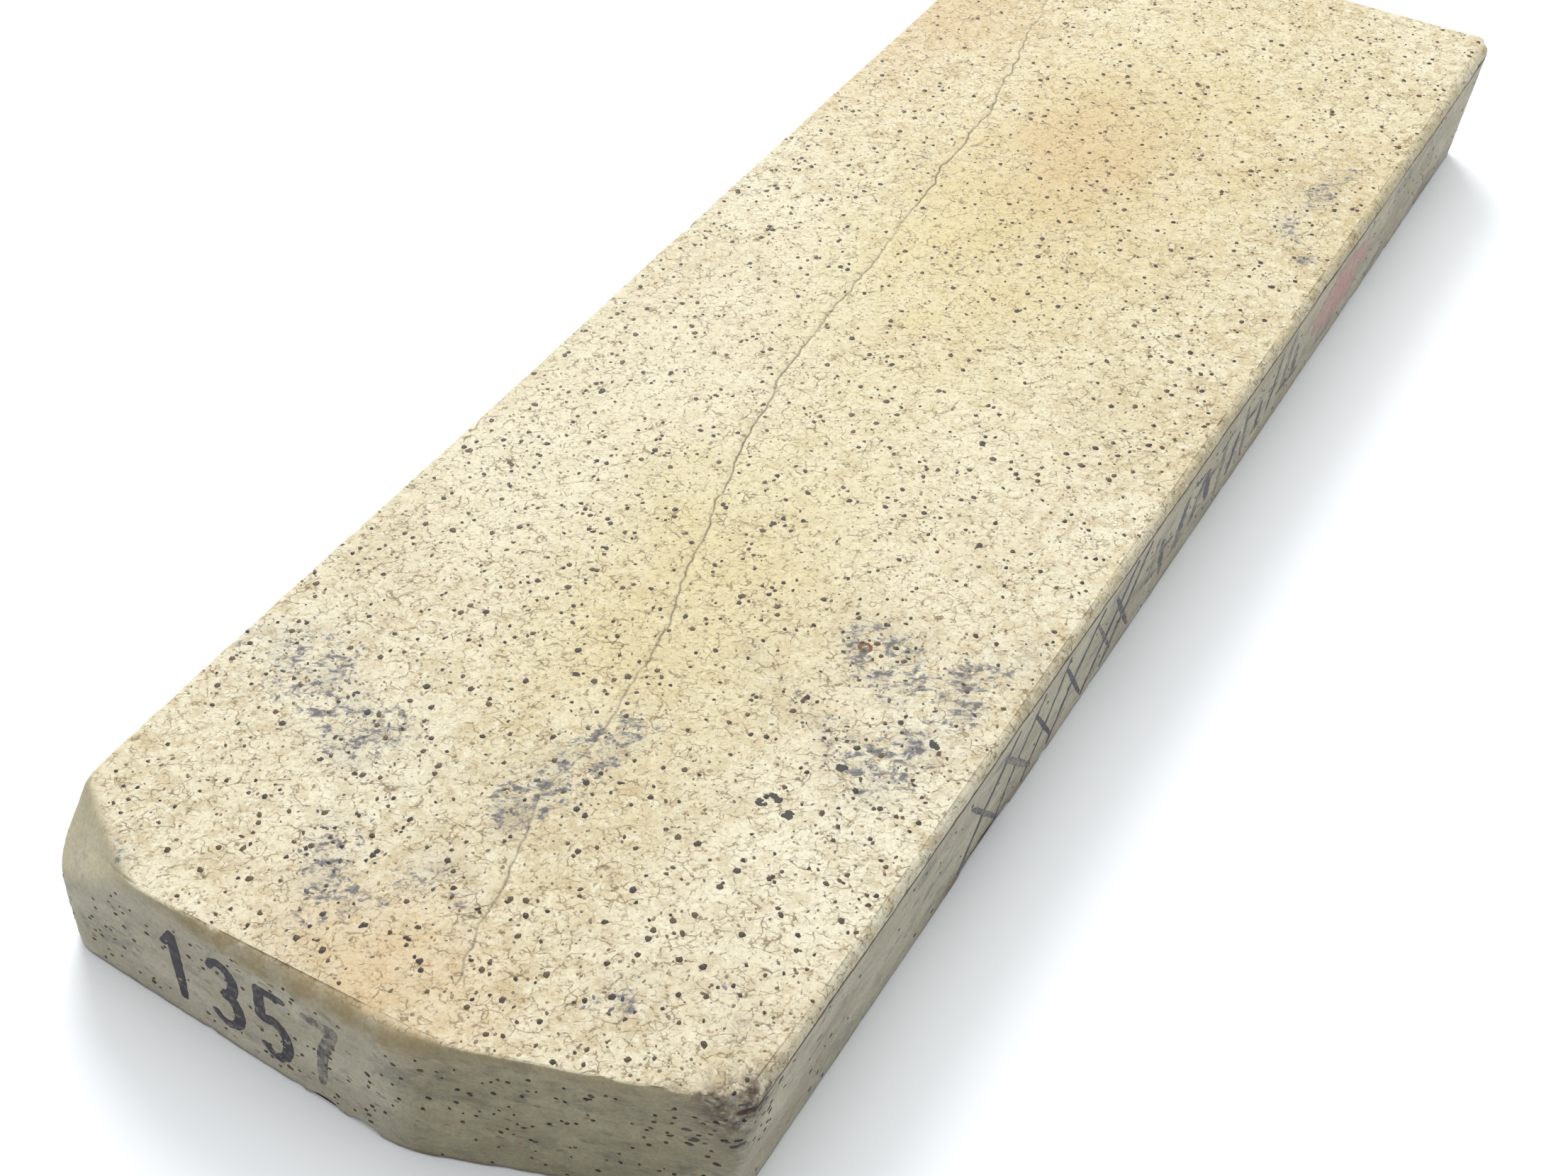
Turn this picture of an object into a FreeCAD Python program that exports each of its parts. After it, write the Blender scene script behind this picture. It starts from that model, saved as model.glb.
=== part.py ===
import FreeCAD, Part
import math
import os

import Sketcher
from FreeCAD import Rotation, Vector

# Bench whetstone: one sawn slab of bedded natural stone, lapped flat on its two
# broad faces and left with worn, broken edges.  Millimetres.  X runs across the
# stone, Y along it away from the near end, Z up.  The origin is at the middle of
# the foot of its bounding box.

SIZES = {
    # overall
    "length": 210.0,
    "width": 73.0,
    "thickness": 16.5,
    # plan of the foot, set back from the overall length and width
    "near_left_setback": 0.3,
    "near_right_setback": 11.4,
    "far_left_setback": 10.4,
    "break_from_left": 43.2,
    "side_undercut": 0.9,
    "far_undercut": 4.3,
    # how far the top of the near end stands in from its foot
    "near_left_lean": 2.5,
    "near_right_lean": 1.9,
    # upright corners
    "near_left_round": 4.0,
    "end_break_round": 16.0,
    "near_right_flat": 1.5,
    "far_right_round": 2.4,
    "far_left_round": 1.5,
    # worn facet that slopes off the near left corner
    "facet_reach": 7.7,
    "facet_drop": 8.5,
    "facet_turn": 31.0,
    # arrises
    "right_arris": 1.3,
    "foot_arris": 0.4,
    # flakes broken out of the foot
    "side_flake_radius": 14.0,
    "side_flake_depth": 1.3,
    "side_flake_along": 58.4,
    "end_flake_radius": 4.5,
    "end_flake_depth": 0.7,
    "end_flake_from_left": 34.0,
    "end_flake_spacing": 4.8,
}

# Points closer than this are taken to be one.
TOUCHING = 0.01

# Corners of the foot in order round it, as formulas of the sheet.
HALF_WIDTH = "Sizes.width / 2"
HALF_LENGTH = "Sizes.length / 2"
FOOT_RIGHT = f"{HALF_WIDTH} - Sizes.side_undercut"
FOOT_FAR = f"{HALF_LENGTH} - Sizes.far_undercut"
FOOT = {
    "near_left": (f"-{HALF_WIDTH}", f"-{HALF_LENGTH} + Sizes.near_left_setback"),
    "near_break": (f"-{HALF_WIDTH} + Sizes.break_from_left", f"-{HALF_LENGTH}"),
    "near_right": (FOOT_RIGHT, f"-{HALF_LENGTH} + Sizes.near_right_setback"),
    "far_right": (FOOT_RIGHT, FOOT_FAR),
    "far_left": (f"-{HALF_WIDTH}", f"{FOOT_FAR} - Sizes.far_left_setback"),
}

# How far the top of a wall stands in from its foot, by the corner that the wall
# starts from.  A wall with no entry is upright.
WALL_LEANS = {
    "near_left": "Sizes.near_left_lean",
    "near_break": "Sizes.near_right_lean",
    "near_right": "-Sizes.side_undercut",
    "far_right": "-Sizes.far_undercut",
}


def make_sheet(doc):
    """The driving dimensions, one alias to a row."""
    sheet = doc.addObject("Spreadsheet::Sheet", "Sizes")
    for row, (alias, size) in enumerate(SIZES.items(), start=1):
        sheet.set(f"A{row}", alias)
        sheet.set(f"B{row}", str(size))
        sheet.setAlias(f"B{row}", alias)
    doc.recompute()
    return sheet


def worked_out(doc, formula):
    """The number that a formula of the sheet comes to."""
    return float(doc.getObject("Sizes").evalExpression(formula))


def origin_plane(body, role):
    """One of the body's own three base planes."""
    return next(plane for plane in body.Origin.OriginFeatures if plane.Role == role)


def attach(feature, body, role, turn=None, **base):
    """Puts a feature on a base plane, moved, and turned about the plane's own Y, by formulas."""
    feature.AttachmentSupport = [(origin_plane(body, role), "")]
    feature.MapMode = "FlatFace"
    if turn:
        feature.AttachmentOffset = FreeCAD.Placement(Vector(), Rotation(Vector(0, 1, 0), 1))
        feature.setExpression("AttachmentOffset.Rotation.Angle", turn)
    for axis, formula in base.items():
        feature.setExpression(f"AttachmentOffset.Base.{axis}", formula)


def outline(sketch, corners, closing_radius=None):
    """A closed outline through corners placed by formulas; its last side may be an arc."""
    doc = sketch.Document
    points = [Vector(*(worked_out(doc, formula) for formula in place), 0) for place in corners.values()]
    count = len(points)
    for start, end in zip(points, points[1:]):
        sketch.addGeometry(Part.LineSegment(start, end))
    if closing_radius:
        centre = Vector(points[0].x, points[-1].y, 0)
        radius = points[-1].x - points[0].x
        sketch.addGeometry(Part.ArcOfCircle(Part.Circle(centre, Vector(0, 0, 1), radius), 0, math.pi / 2))
        bind(sketch, Sketcher.Constraint("Radius", count - 1, radius), "closing_radius", closing_radius)
    else:
        sketch.addGeometry(Part.LineSegment(points[-1], points[0]))
    for line in range(count):
        sketch.addConstraint(Sketcher.Constraint("Coincident", line, 2, (line + 1) % count, 1))
    for line, (name, place) in enumerate(corners.items()):
        for kind, formula, at in zip(("DistanceX", "DistanceY"), place, points[line]):
            bind(sketch, Sketcher.Constraint(kind, -1, 1, line, 1, at), f"{name}_{kind[-1].lower()}", formula)


def bind(sketch, constraint, name, formula):
    """Adds a constraint under a name, and ties its size to a formula."""
    sketch.renameConstraint(sketch.addConstraint(constraint), name)
    sketch.setExpression(f"Constraints.{name}", formula)


def edges(feature, test):
    """Names of the feature's edges that pass a test of their end points."""
    return [
        f"Edge{number}"
        for number, edge in enumerate(feature.Shape.Edges, start=1)
        if test([vertex.Point for vertex in edge.Vertexes])
    ]


def foot_point(doc, corner):
    """Where a corner of the foot comes to."""
    return Vector(*(worked_out(doc, formula) for formula in FOOT[corner]), 0)


def upright(doc, corner):
    """Tests for the upright edge that stands on a corner of the foot."""
    foot = foot_point(doc, corner)
    reach = SIZES["thickness"] / 2

    def test(ends):
        heights = [end.z for end in ends]
        beside = all(Vector(end.x, end.y, 0).distanceToPoint(foot) < reach for end in ends)
        return beside and max(heights) - min(heights) > reach

    return test


def on_foot(ends):
    """Tests for the edges round the foot."""
    return all(abs(end.z) < TOUCHING for end in ends)


def dress(body, kind, name, size, test):
    """A fillet or a chamfer on the edges of the body's last feature that pass the test."""
    base = body.Tip
    feature = body.newObject(f"PartDesign::{kind}", name)
    feature.Base = (base, edges(base, test))
    feature.setExpression("Radius" if kind == "Fillet" else "Size", f"Sizes.{size}")
    body.Document.recompute()
    return feature


def wall_names(doc, feature, corner):
    """The name of the wall that runs from a corner of the foot to the next one."""
    names = list(FOOT)
    next_corner = names[(names.index(corner) + 1) % len(names)]
    middle = (foot_point(doc, corner) + foot_point(doc, next_corner)) / 2
    spot = Part.Vertex(middle + Vector(0, 0, TOUCHING))
    gaps = [face.distToShape(spot)[0] for face in feature.Shape.Faces]
    return [f"Face{gaps.index(min(gaps)) + 1}"]


def make_slab(doc, body):
    """The slab: its foot outline carried up, then each wall tilted about its foot."""
    foot = body.newObject("Sketcher::SketchObject", "FootOutline")
    attach(foot, body, "XY_Plane")
    outline(foot, FOOT)
    slab = body.newObject("PartDesign::Pad", "Slab")
    slab.Profile = foot
    slab.setExpression("Length", "Sizes.thickness")
    doc.recompute()
    for corner, lean in WALL_LEANS.items():
        wall = body.newObject("PartDesign::Draft", f"Lean_{corner}")
        wall.Base = (slab, wall_names(doc, slab, corner))
        wall.NeutralPlane = (origin_plane(body, "XY_Plane"), [""])
        wall.setExpression("Angle", f"atan({lean} / Sizes.thickness)")
        doc.recompute()
        slab = wall


def round_upright_corners(doc, body):
    """The upright corners, each worn or broken in its own way."""
    dress(body, "Fillet", "EndBreak", "end_break_round", upright(doc, "near_break"))
    dress(body, "Fillet", "NearLeftCorner", "near_left_round", upright(doc, "near_left"))
    dress(body, "Chamfer", "NearRightCorner", "near_right_flat", upright(doc, "near_right"))
    dress(body, "Fillet", "FarRightCorner", "far_right_round", upright(doc, "far_right"))
    dress(body, "Fillet", "FarLeftCorner", "far_left_round", upright(doc, "far_left"))


def cut_along(body, sketch, name):
    """Cuts a profile away square to its plane, both ways, right through the stone."""
    cut = body.newObject("PartDesign::Pocket", name)
    cut.Profile = sketch
    cut.Type = "ThroughAll"
    cut.Midplane = True
    body.Document.recompute()


def cut_corner_facet(body):
    """The worn plane that slopes off the near left corner, its profile square to its foot."""
    sketch = body.newObject("Sketcher::SketchObject", "FacetProfile")
    across, along = FOOT["near_left"]
    attach(sketch, body, "YZ_Plane", "-Sizes.facet_turn * 1 deg", x=along, y="Sizes.thickness", z=across)
    outline(sketch, {
        "inner": ("2 * Sizes.facet_reach", "Sizes.facet_drop"),
        "upper": ("-Sizes.facet_reach", "Sizes.facet_drop"),
        "lower": ("-Sizes.facet_reach", "-2 * Sizes.facet_drop"),
    })
    cut_along(body, sketch, "CornerFacet")


def wear_right_arris(body):
    """The arris along the top of the right side, worn round in use."""
    sketch = body.newObject("Sketcher::SketchObject", "ArrisProfile")
    attach(sketch, body, "XZ_Plane")
    inner, outer = (f"{HALF_WIDTH} {sign} Sizes.right_arris" for sign in "-+")
    lower, upper = (f"Sizes.thickness {sign} Sizes.right_arris" for sign in "-+")
    outline(sketch, {
        "on_top": (inner, "Sizes.thickness"),
        "above": (inner, upper),
        "outside": (outer, upper),
        "below": (outer, lower),
        "on_side": (HALF_WIDTH, lower),
    }, "Sizes.right_arris")
    cut_along(body, sketch, "RightArris")


def break_foot_arris(body):
    """The arris round the foot, just taken off."""
    dress(body, "Chamfer", "FootArris", "foot_arris", on_foot)


def knock_flake(doc, body, name, radius, across, along, below):
    """A hollow where a flake has sprung from the foot."""
    flake = body.newObject("PartDesign::SubtractiveSphere", name)
    attach(flake, body, "XY_Plane", x=across, y=along, z=below)
    flake.setExpression("Radius", f"Sizes.{radius}")
    doc.recompute()


def knock_flakes(doc, body):
    """One long flake off the foot of the right side, and two small ones off the near end."""
    side_reach = "(Sizes.side_flake_radius - Sizes.side_flake_depth) * sqrt(0.5)"
    knock_flake(doc, body, "SideFlake", "side_flake_radius", f"{FOOT_RIGHT} + {side_reach}",
                f"-{HALF_LENGTH} + Sizes.side_flake_along", f"-{side_reach}")
    end_reach = "(Sizes.end_flake_radius - Sizes.end_flake_depth) * sqrt(0.5)"
    for number in range(2):
        across = f"-{HALF_WIDTH} + Sizes.end_flake_from_left + {number} * Sizes.end_flake_spacing"
        knock_flake(doc, body, f"EndFlake{number + 1}", "end_flake_radius", across,
                    f"-{HALF_LENGTH} - {end_reach}", f"-{end_reach}")


def make_whetstone(doc):
    """The stone: a single piece of rock."""
    body = doc.addObject("PartDesign::Body", "Whetstone")
    body.Label = "whetstone"
    make_slab(doc, body)
    round_upright_corners(doc, body)
    cut_corner_facet(body)
    wear_right_arris(body)
    break_foot_arris(body)
    knock_flakes(doc, body)
    return body


def check(doc, bodies):
    """Stops unless every object recomputed and every body is one valid solid."""
    doc.recompute()
    failed = [item.Label for item in doc.Objects if {"Invalid", "Error"} & set(item.State)]
    if failed:
        raise RuntimeError(f"not recomputed: {', '.join(failed)}")
    for body in bodies:
        shape = body.Shape
        if shape.isNull() or not shape.isValid() or len(shape.Solids) != 1:
            raise RuntimeError(f"{body.Label} is not one valid solid")


def main():
    doc = FreeCAD.newDocument("Whetstone")
    make_sheet(doc)
    bodies = [make_whetstone(doc)]
    check(doc, bodies)
    os.makedirs("parts", exist_ok=True)
    for body in bodies:
        body.Shape.exportStep(f"parts/{body.Label}.step")
        box = body.Shape.optimalBoundingBox()
        print(f"{body.Label}: {box.XLength:.2f} x {box.YLength:.2f} x {box.ZLength:.2f} mm, "
              f"{body.Shape.Volume / 1000:.1f} cm3, centre {box.Center.x:.3f} {box.Center.y:.3f}, foot {box.ZMin:.3f}")


main()
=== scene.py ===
"""The finished look of a bench whetstone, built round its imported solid.

A mesh is worked in millimetres and becomes an object in metres.  X runs across the stone, Y along it
away from the numbered end and Z up out of the honing face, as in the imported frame.
"""
import logging
import math
import random
from dataclasses import dataclass, field
from enum import Enum
from typing import Any, Optional, Sequence

import bpy
import numpy as np
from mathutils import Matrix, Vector, geometry, kdtree, noise
from mathutils.bvhtree import BVHTree


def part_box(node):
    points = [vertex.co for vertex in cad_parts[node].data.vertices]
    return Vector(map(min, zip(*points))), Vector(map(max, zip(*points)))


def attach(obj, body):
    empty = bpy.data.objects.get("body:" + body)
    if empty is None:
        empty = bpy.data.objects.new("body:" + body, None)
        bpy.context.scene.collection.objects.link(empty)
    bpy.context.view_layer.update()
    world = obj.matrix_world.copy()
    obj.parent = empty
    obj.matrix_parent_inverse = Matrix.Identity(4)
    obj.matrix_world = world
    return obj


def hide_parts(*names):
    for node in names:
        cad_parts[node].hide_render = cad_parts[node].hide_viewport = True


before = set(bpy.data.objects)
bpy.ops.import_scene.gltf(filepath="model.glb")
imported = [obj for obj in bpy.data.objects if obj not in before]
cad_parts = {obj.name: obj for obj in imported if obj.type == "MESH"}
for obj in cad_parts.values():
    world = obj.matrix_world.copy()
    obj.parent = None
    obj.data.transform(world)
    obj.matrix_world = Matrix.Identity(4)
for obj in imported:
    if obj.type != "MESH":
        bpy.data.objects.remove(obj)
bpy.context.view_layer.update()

MM = 0.001
NODE = "whetstone"
LOG = logging.getLogger(NODE)

Point = tuple[float, float]
Point3 = tuple[float, float, float]
Face = tuple[int, ...]
Socket = bpy.types.NodeSocket


class Slot(Enum):
    """Material slot names; each ink film carries one, and nothing reads it."""

    STONE = "bedded_stone"
    GRAIN = "mineral_grain"
    INK = "blue_black_ink"
    SEAL = "seal_red_ink"


# ---------------------------------------------------------------- small tools


def tone(red: float, green: float, blue: float) -> tuple[float, float, float, float]:
    """A colour as the eye names it, each part 0 to 1, turned to scene light with an alpha of 1.

    Args:
        red: red as seen.
        green: green as seen.
        blue: blue as seen.

    Returns:
        The colour in linear light.
    """
    return *(part / 12.92 if part <= 0.04045 else ((part + 0.055) / 1.055) ** 2.4
             for part in (red, green, blue)), 1.0


def ease(start: float, end: float, values: np.ndarray) -> np.ndarray:
    """Rises smoothly from 0 at start to 1 at end.

    Args:
        start: where the rise begins.
        end: where it is complete; below start for a fall.
        values: where to read it.

    Returns:
        The eased share of each value.
    """
    share = np.clip((values - start) / (end - start), 0.0, 1.0)
    return share * share * (3.0 - 2.0 * share)


def ripple(points: np.ndarray, pace: Sequence[float], seed: float) -> np.ndarray:
    """Smooth noise from -1 to 1 at each point.

    Args:
        points: places, one a row.
        pace: waves per millimetre along each axis.
        seed: moves the noise, so that no two uses look alike.

    Returns:
        One value for each point.
    """
    stretched = points * np.asarray(pace) + seed
    return np.array([noise.noise(Vector(place)) for place in stretched])


def flat_points(places: np.ndarray, height: float = 0.0) -> np.ndarray:
    """Gives plan places one height."""
    return np.column_stack([places, np.full(len(places), height)])


def clear_of(places: np.ndarray, others: np.ndarray, margin: float) -> np.ndarray:
    """Keeps the plan places that are further than a margin from every one of the others."""
    tree = kdtree.KDTree(len(others))
    for number, place in enumerate(others):
        tree.insert((*place, 0), number)
    tree.balance()
    return np.array([place for place in places if tree.find((*place, 0))[2] > margin])


def leftward(along: np.ndarray) -> np.ndarray:
    """The unit direction to the left of each plan direction."""
    unit = along / np.linalg.norm(along, axis=1)[:, None]
    return np.column_stack([-unit[:, 1], unit[:, 0]])


def walked(places: np.ndarray) -> np.ndarray:
    """How far each place is along the line through them all."""
    return np.r_[0, np.cumsum(np.linalg.norm(np.diff(places, axis=0), axis=1))]


def new_piece(name: str, points: np.ndarray, faces: Sequence[Face],
              material: bpy.types.Material) -> bpy.types.Object:
    """Makes a smooth-shaded mesh object at the origin.

    Args:
        name: the piece's name.
        points: its vertices in millimetres.
        faces: its faces, by vertex number.
        material: what it is made of.

    Returns:
        The object, linked to the scene.
    """
    mesh = bpy.data.meshes.new(name)
    mesh.from_pydata((points * MM).tolist(), [], list(faces))
    mesh.materials.append(material)
    mesh.shade_smooth()
    piece = bpy.data.objects.new(name, mesh)
    bpy.context.scene.collection.objects.link(piece)
    return piece


def store(mesh: bpy.types.Mesh, name: str, values: np.ndarray) -> None:
    """Keeps one number per vertex on a mesh under a name."""
    kept = mesh.attributes.new(name, "FLOAT", "POINT")
    kept.data.foreach_set("value", values.astype(np.float32))


def vertex_normals(piece: bpy.types.Object) -> np.ndarray:
    """The outward direction at each vertex of a piece."""
    flat = np.empty(len(piece.data.vertices) * 3, np.float32)
    piece.data.vertex_normals.foreach_get("vector", flat)
    return flat.reshape(-1, 3).astype(float)


def hand_over(piece: bpy.types.Object) -> None:
    """Rides a finished piece on the stone's body and logs it.

    Args:
        piece: the finished piece.
    """
    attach(piece, "root")
    places = np.array([vertex.co for vertex in piece.data.vertices]) / MM
    LOG.info("%s: %d faces, %s to %s mm", piece.name, len(piece.data.polygons),
             places.min(axis=0).round(3), places.max(axis=0).round(3))


# ---------------------------------------------------------------- material graphs


class Graph:
    """A material's nodes, with short ways to add and join them.  Its lengths are millimetres."""

    def __init__(self, name: str) -> None:
        """Starts a material whose patterns read its piece's own Object coordinates."""
        self.material = bpy.data.materials.new(name)
        self.material.use_nodes = True
        self.tree = self.material.node_tree
        self.surface = self.tree.nodes["Principled BSDF"]
        place = self.add("ShaderNodeTexCoord").outputs["Object"]
        self.place = self.vector("SCALE", place, scale=1 / MM)

    def add(self, kind: str, **settings: Any) -> bpy.types.Node:
        """Adds a node and sets its properties."""
        node = self.tree.nodes.new(kind)
        for name, value in settings.items():
            setattr(node, name, value)
        return node

    def feed(self, socket: Socket, value: Any) -> None:
        """Joins a socket to another, or sets its value."""
        if isinstance(value, bpy.types.NodeSocket):
            self.tree.links.new(value, socket)
        else:
            socket.default_value = value

    def math(self, operation: str, *values: Any) -> Socket:
        """One sum of up to three values."""
        node = self.add("ShaderNodeMath", operation=operation)
        for socket, value in zip(node.inputs, values):
            self.feed(socket, value)
        return node.outputs[0]

    def times(self, first: Any, second: Any) -> Socket:
        """One number times another."""
        return self.math("MULTIPLY", first, second)

    def vector(self, operation: str, first: Any, second: Any = None, scale: Any = None) -> Socket:
        """One sum of vectors."""
        node = self.add("ShaderNodeVectorMath", operation=operation)
        self.feed(node.inputs[0], first)
        if second is not None:
            self.feed(node.inputs[1], second)
        if scale is not None:
            self.feed(node.inputs["Scale"], scale)
        return node.outputs[0]

    def axis(self, letter: str) -> Socket:
        """How far along one axis the place on the piece is."""
        node = self.add("ShaderNodeSeparateXYZ")
        self.feed(node.inputs[0], self.place)
        return node.outputs[letter]

    def kept(self, name: str) -> Socket:
        """A number kept on the mesh under a name."""
        return self.add("ShaderNodeAttribute", attribute_name=name).outputs["Fac"]

    def ease(self, value: Socket, start: float, end: float, low: float = 0.0, high: float = 1.0) -> Socket:
        """Takes a value smoothly from low at start to high at end."""
        node = self.add("ShaderNodeMapRange", interpolation_type="SMOOTHSTEP")
        for socket, setting in zip(node.inputs, (value, start, end, low, high)):
            self.feed(socket, setting)
        return node.outputs[0]

    def stretched(self, pace: Sequence[float]) -> Socket:
        """The place on the piece with each axis stretched by its own amount."""
        return self.vector("MULTIPLY", self.place, tuple(pace))

    def clouds(self, size: float, detail: float = 4.0, roughness: float = 0.55, distortion: float = 0.0,
               place: Optional[Socket] = None, shift: float = 0.0) -> Socket:
        """Cloudy noise.

        Args:
            size: width of its largest clouds in millimetres.
            detail: how many finer layers it has.
            roughness: how strong the finer layers are.
            distortion: how far it folds over itself.
            place: the coordinates that it reads; the piece's own if none.
            shift: moves it, so that no two uses look alike.

        Returns:
            The noise, 0 to 1.
        """
        node = self.add("ShaderNodeTexNoise", noise_dimensions="4D")
        self.feed(node.inputs["Vector"], place or self.place)
        self.feed(node.inputs["W"], shift)
        self.feed(node.inputs["Scale"], 1.0 / size)
        self.feed(node.inputs["Detail"], detail)
        self.feed(node.inputs["Roughness"], roughness)
        self.feed(node.inputs["Distortion"], distortion)
        return node.outputs[0]

    def wandering(self, size: float, reach: float, place: Optional[Socket] = None) -> Socket:
        """The place on the piece, wandering by up to about reach over clouds of a size."""
        node = self.add("ShaderNodeTexNoise")
        self.feed(node.inputs["Vector"], place or self.place)
        self.feed(node.inputs["Scale"], 1.0 / size)
        self.feed(node.inputs["Detail"], 3.0)
        centred = self.vector("SUBTRACT", node.outputs["Color"], (0.5, 0.5, 0.5))
        return self.vector("ADD", place or self.place, self.vector("SCALE", centred, scale=2.0 * reach))

    def cells(self, size: float, place: Socket, feature: str = "DISTANCE_TO_EDGE") -> bpy.types.Node:
        """A pattern of cells of a size."""
        node = self.add("ShaderNodeTexVoronoi", feature=feature)
        self.feed(node.inputs["Vector"], place)
        self.feed(node.inputs["Scale"], 1.0 / size)
        return node

    def blend(self, share: Any, first: Any, second: Any, how: str = "MIX") -> Socket:
        """Mixes two colours by a share."""
        node = self.add("ShaderNodeMix", data_type="RGBA", blend_type=how)
        for number, value in ((0, share), (6, first), (7, second)):
            self.feed(node.inputs[number], value)
        return node.outputs[2]

    def over(self, colour: Any, paint: Any, pattern: Socket, start: float, end: float,
             most: float = 1.0) -> Socket:
        """Lays up to a share of a paint over a colour, as a pattern goes from start to end."""
        return self.blend(self.ease(pattern, start, end, 0.0, most), colour, paint)

    def shade(self, colour: Socket, amount: Socket) -> Socket:
        """Darkens or lightens a colour by a plain factor."""
        return self.vector("SCALE", colour, scale=amount)

    def bump(self, height: Socket, depth: float, strength: float = 1.0) -> None:
        """Gives the surface a relief.

        Args:
            height: the relief, 0 to 1.
            depth: how deep a whole step of it is in millimetres.
            strength: how much of it shows.
        """
        node = self.add("ShaderNodeBump")
        self.feed(node.inputs["Strength"], strength)
        self.feed(node.inputs["Distance"], depth * MM)
        self.feed(node.inputs["Height"], height)
        self.feed(self.surface.inputs["Normal"], node.outputs[0])

    def finish(self, colour: Socket, roughness: Any, specular: float) -> bpy.types.Material:
        """Joins colour and gloss to the shader.

        Args:
            colour: the base colour.
            roughness: a number or a socket.
            specular: the shader's specular level.

        Returns:
            The finished material.
        """
        self.feed(self.surface.inputs["Base Color"], colour)
        self.feed(self.surface.inputs["Roughness"], roughness)
        self.feed(self.surface.inputs["Specular IOR Level"], specular)
        return self.material


@dataclass(frozen=True)
class StoneFinish:
    """Cream bedded stone: lapped top, sawn and hand-worn walls, stains, clouds and fine cracks."""

    thickness: float
    half_width: float
    cream: tuple = tone(0.815, 0.768, 0.642)
    bone: tuple = tone(0.872, 0.848, 0.755)
    tan: tuple = tone(0.725, 0.655, 0.505)
    yellow: tuple = tone(0.805, 0.748, 0.55)
    peach: tuple = tone(0.785, 0.685, 0.525)
    crack: tuple = tone(0.44, 0.36, 0.25)
    slate: tuple = tone(0.47, 0.47, 0.485)
    ink_dark: tuple = tone(0.27, 0.275, 0.29)
    wall_pale: tuple = tone(0.79, 0.765, 0.685)
    wall_deep: tuple = tone(0.70, 0.67, 0.585)
    streak: tuple = tone(0.49, 0.49, 0.485)
    rust: tuple = tone(0.44, 0.33, 0.22)
    ochre: tuple = tone(0.64, 0.575, 0.43)
    olive: tuple = tone(0.80, 0.765, 0.645)
    smoke: tuple = tone(0.36, 0.30, 0.26)
    skin: tuple = tone(0.40, 0.31, 0.27)
    vein: tuple = tone(0.30, 0.265, 0.23)
    # Painted shade: multiplied into the near end's walls beyond the break, to darken that facet as if in
    # shadow.
    dusk: tuple = tone(0.87, 0.86, 0.81)
    line: tuple = tone(0.30, 0.23, 0.19)
    crack_lie: float = math.radians(32.0)
    line_drop: float = 1.75

    def lapped(self, graph: Graph) -> Socket:
        """The colour of the honing face."""
        colour = graph.over(self.cream, self.bone, graph.clouds(26.0, 3.0, shift=1.0), 0.36, 0.66)
        mottle = graph.clouds(4.2, 6.0, 0.62, 0.6, shift=2.0)
        colour = graph.over(colour, self.tan, mottle, 0.49, 0.72, 0.75)
        wash = graph.clouds(1.3, 5.0, 0.68, 0.4, place=self.lying(graph, 0.75), shift=18.0)
        colour = graph.over(colour, self.tan, wash, 0.48, 0.60, 0.62)
        light = graph.clouds(1.5, 5.0, 0.68, 0.4, shift=3.0)
        colour = graph.over(colour, self.bone, light, 0.52, 0.62, 0.85)
        for name, paint, most in (("yellow", self.yellow, 0.85), ("peach", self.peach, 0.95),
                                  ("pale", self.bone, 0.7)):
            uneven = graph.clouds(7.0, 4.0, 0.6, shift=len(name))
            share = graph.times(graph.kept(name), graph.ease(uneven, 0.25, 0.7, 0.45, most))
            colour = graph.blend(share, colour, paint)
        return colour

    def lying(self, graph: Graph, drawn: float) -> Socket:
        """The place on the piece, turned to the way that the cracks lie and drawn out along it."""
        turned = graph.add("ShaderNodeVectorRotate", rotation_type="Z_AXIS")
        graph.feed(turned.inputs["Vector"], graph.place)
        graph.feed(turned.inputs["Angle"], -self.crack_lie)
        return graph.vector("MULTIPLY", turned.outputs[0], (drawn, 1.0, 1.0))

    def cracked(self, graph: Graph, colour: Socket) -> Socket:
        """Lays the broken network of hair cracks over a colour."""
        drawn = self.lying(graph, 0.72)
        for size, width, most in ((1.9, 0.045, 0.78), (1.0, 0.075, 0.72), (0.55, 0.11, 0.52)):
            place = graph.wandering(size * 0.8, size * 0.42, drawn)
            edge = graph.cells(size, place).outputs["Distance"]
            line = graph.ease(edge, 0.0, width, 1.0, 0.0)
            gaps = graph.clouds(size * 0.7, 2.0, place=drawn, shift=size)
            broken = graph.ease(gaps, 0.49, 0.59, 0.0, most)
            colour = graph.blend(graph.times(line, broken), colour, self.crack)
        return colour

    def sawn(self, graph: Graph) -> Socket:
        """The colour of the walls and the foot, drawn out along the bedding."""
        bedded = graph.stretched((0.5, 0.5, 1.2))
        broad = graph.clouds(5.0, 5.0, 0.6, place=bedded, shift=5.0)
        colour = graph.over(self.wall_deep, self.wall_pale, broad, 0.34, 0.68)
        fine = graph.clouds(0.9, 4.0, 0.65, place=bedded, shift=6.0)
        colour = graph.over(colour, self.streak, fine, 0.50, 0.68, 0.42)
        blotch = graph.clouds(3.2, 6.0, 0.66, 0.5, place=graph.stretched((0.7, 0.4, 0.9)), shift=19.0)
        colour = graph.over(colour, self.streak, blotch, 0.53, 0.66, 0.5)
        warm = graph.clouds(1.1, 5.0, 0.7, place=graph.stretched((0.22, 0.22, 1.3)), shift=7.0)
        return graph.over(colour, self.rust, warm, 0.60, 0.74, 0.45)

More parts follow.
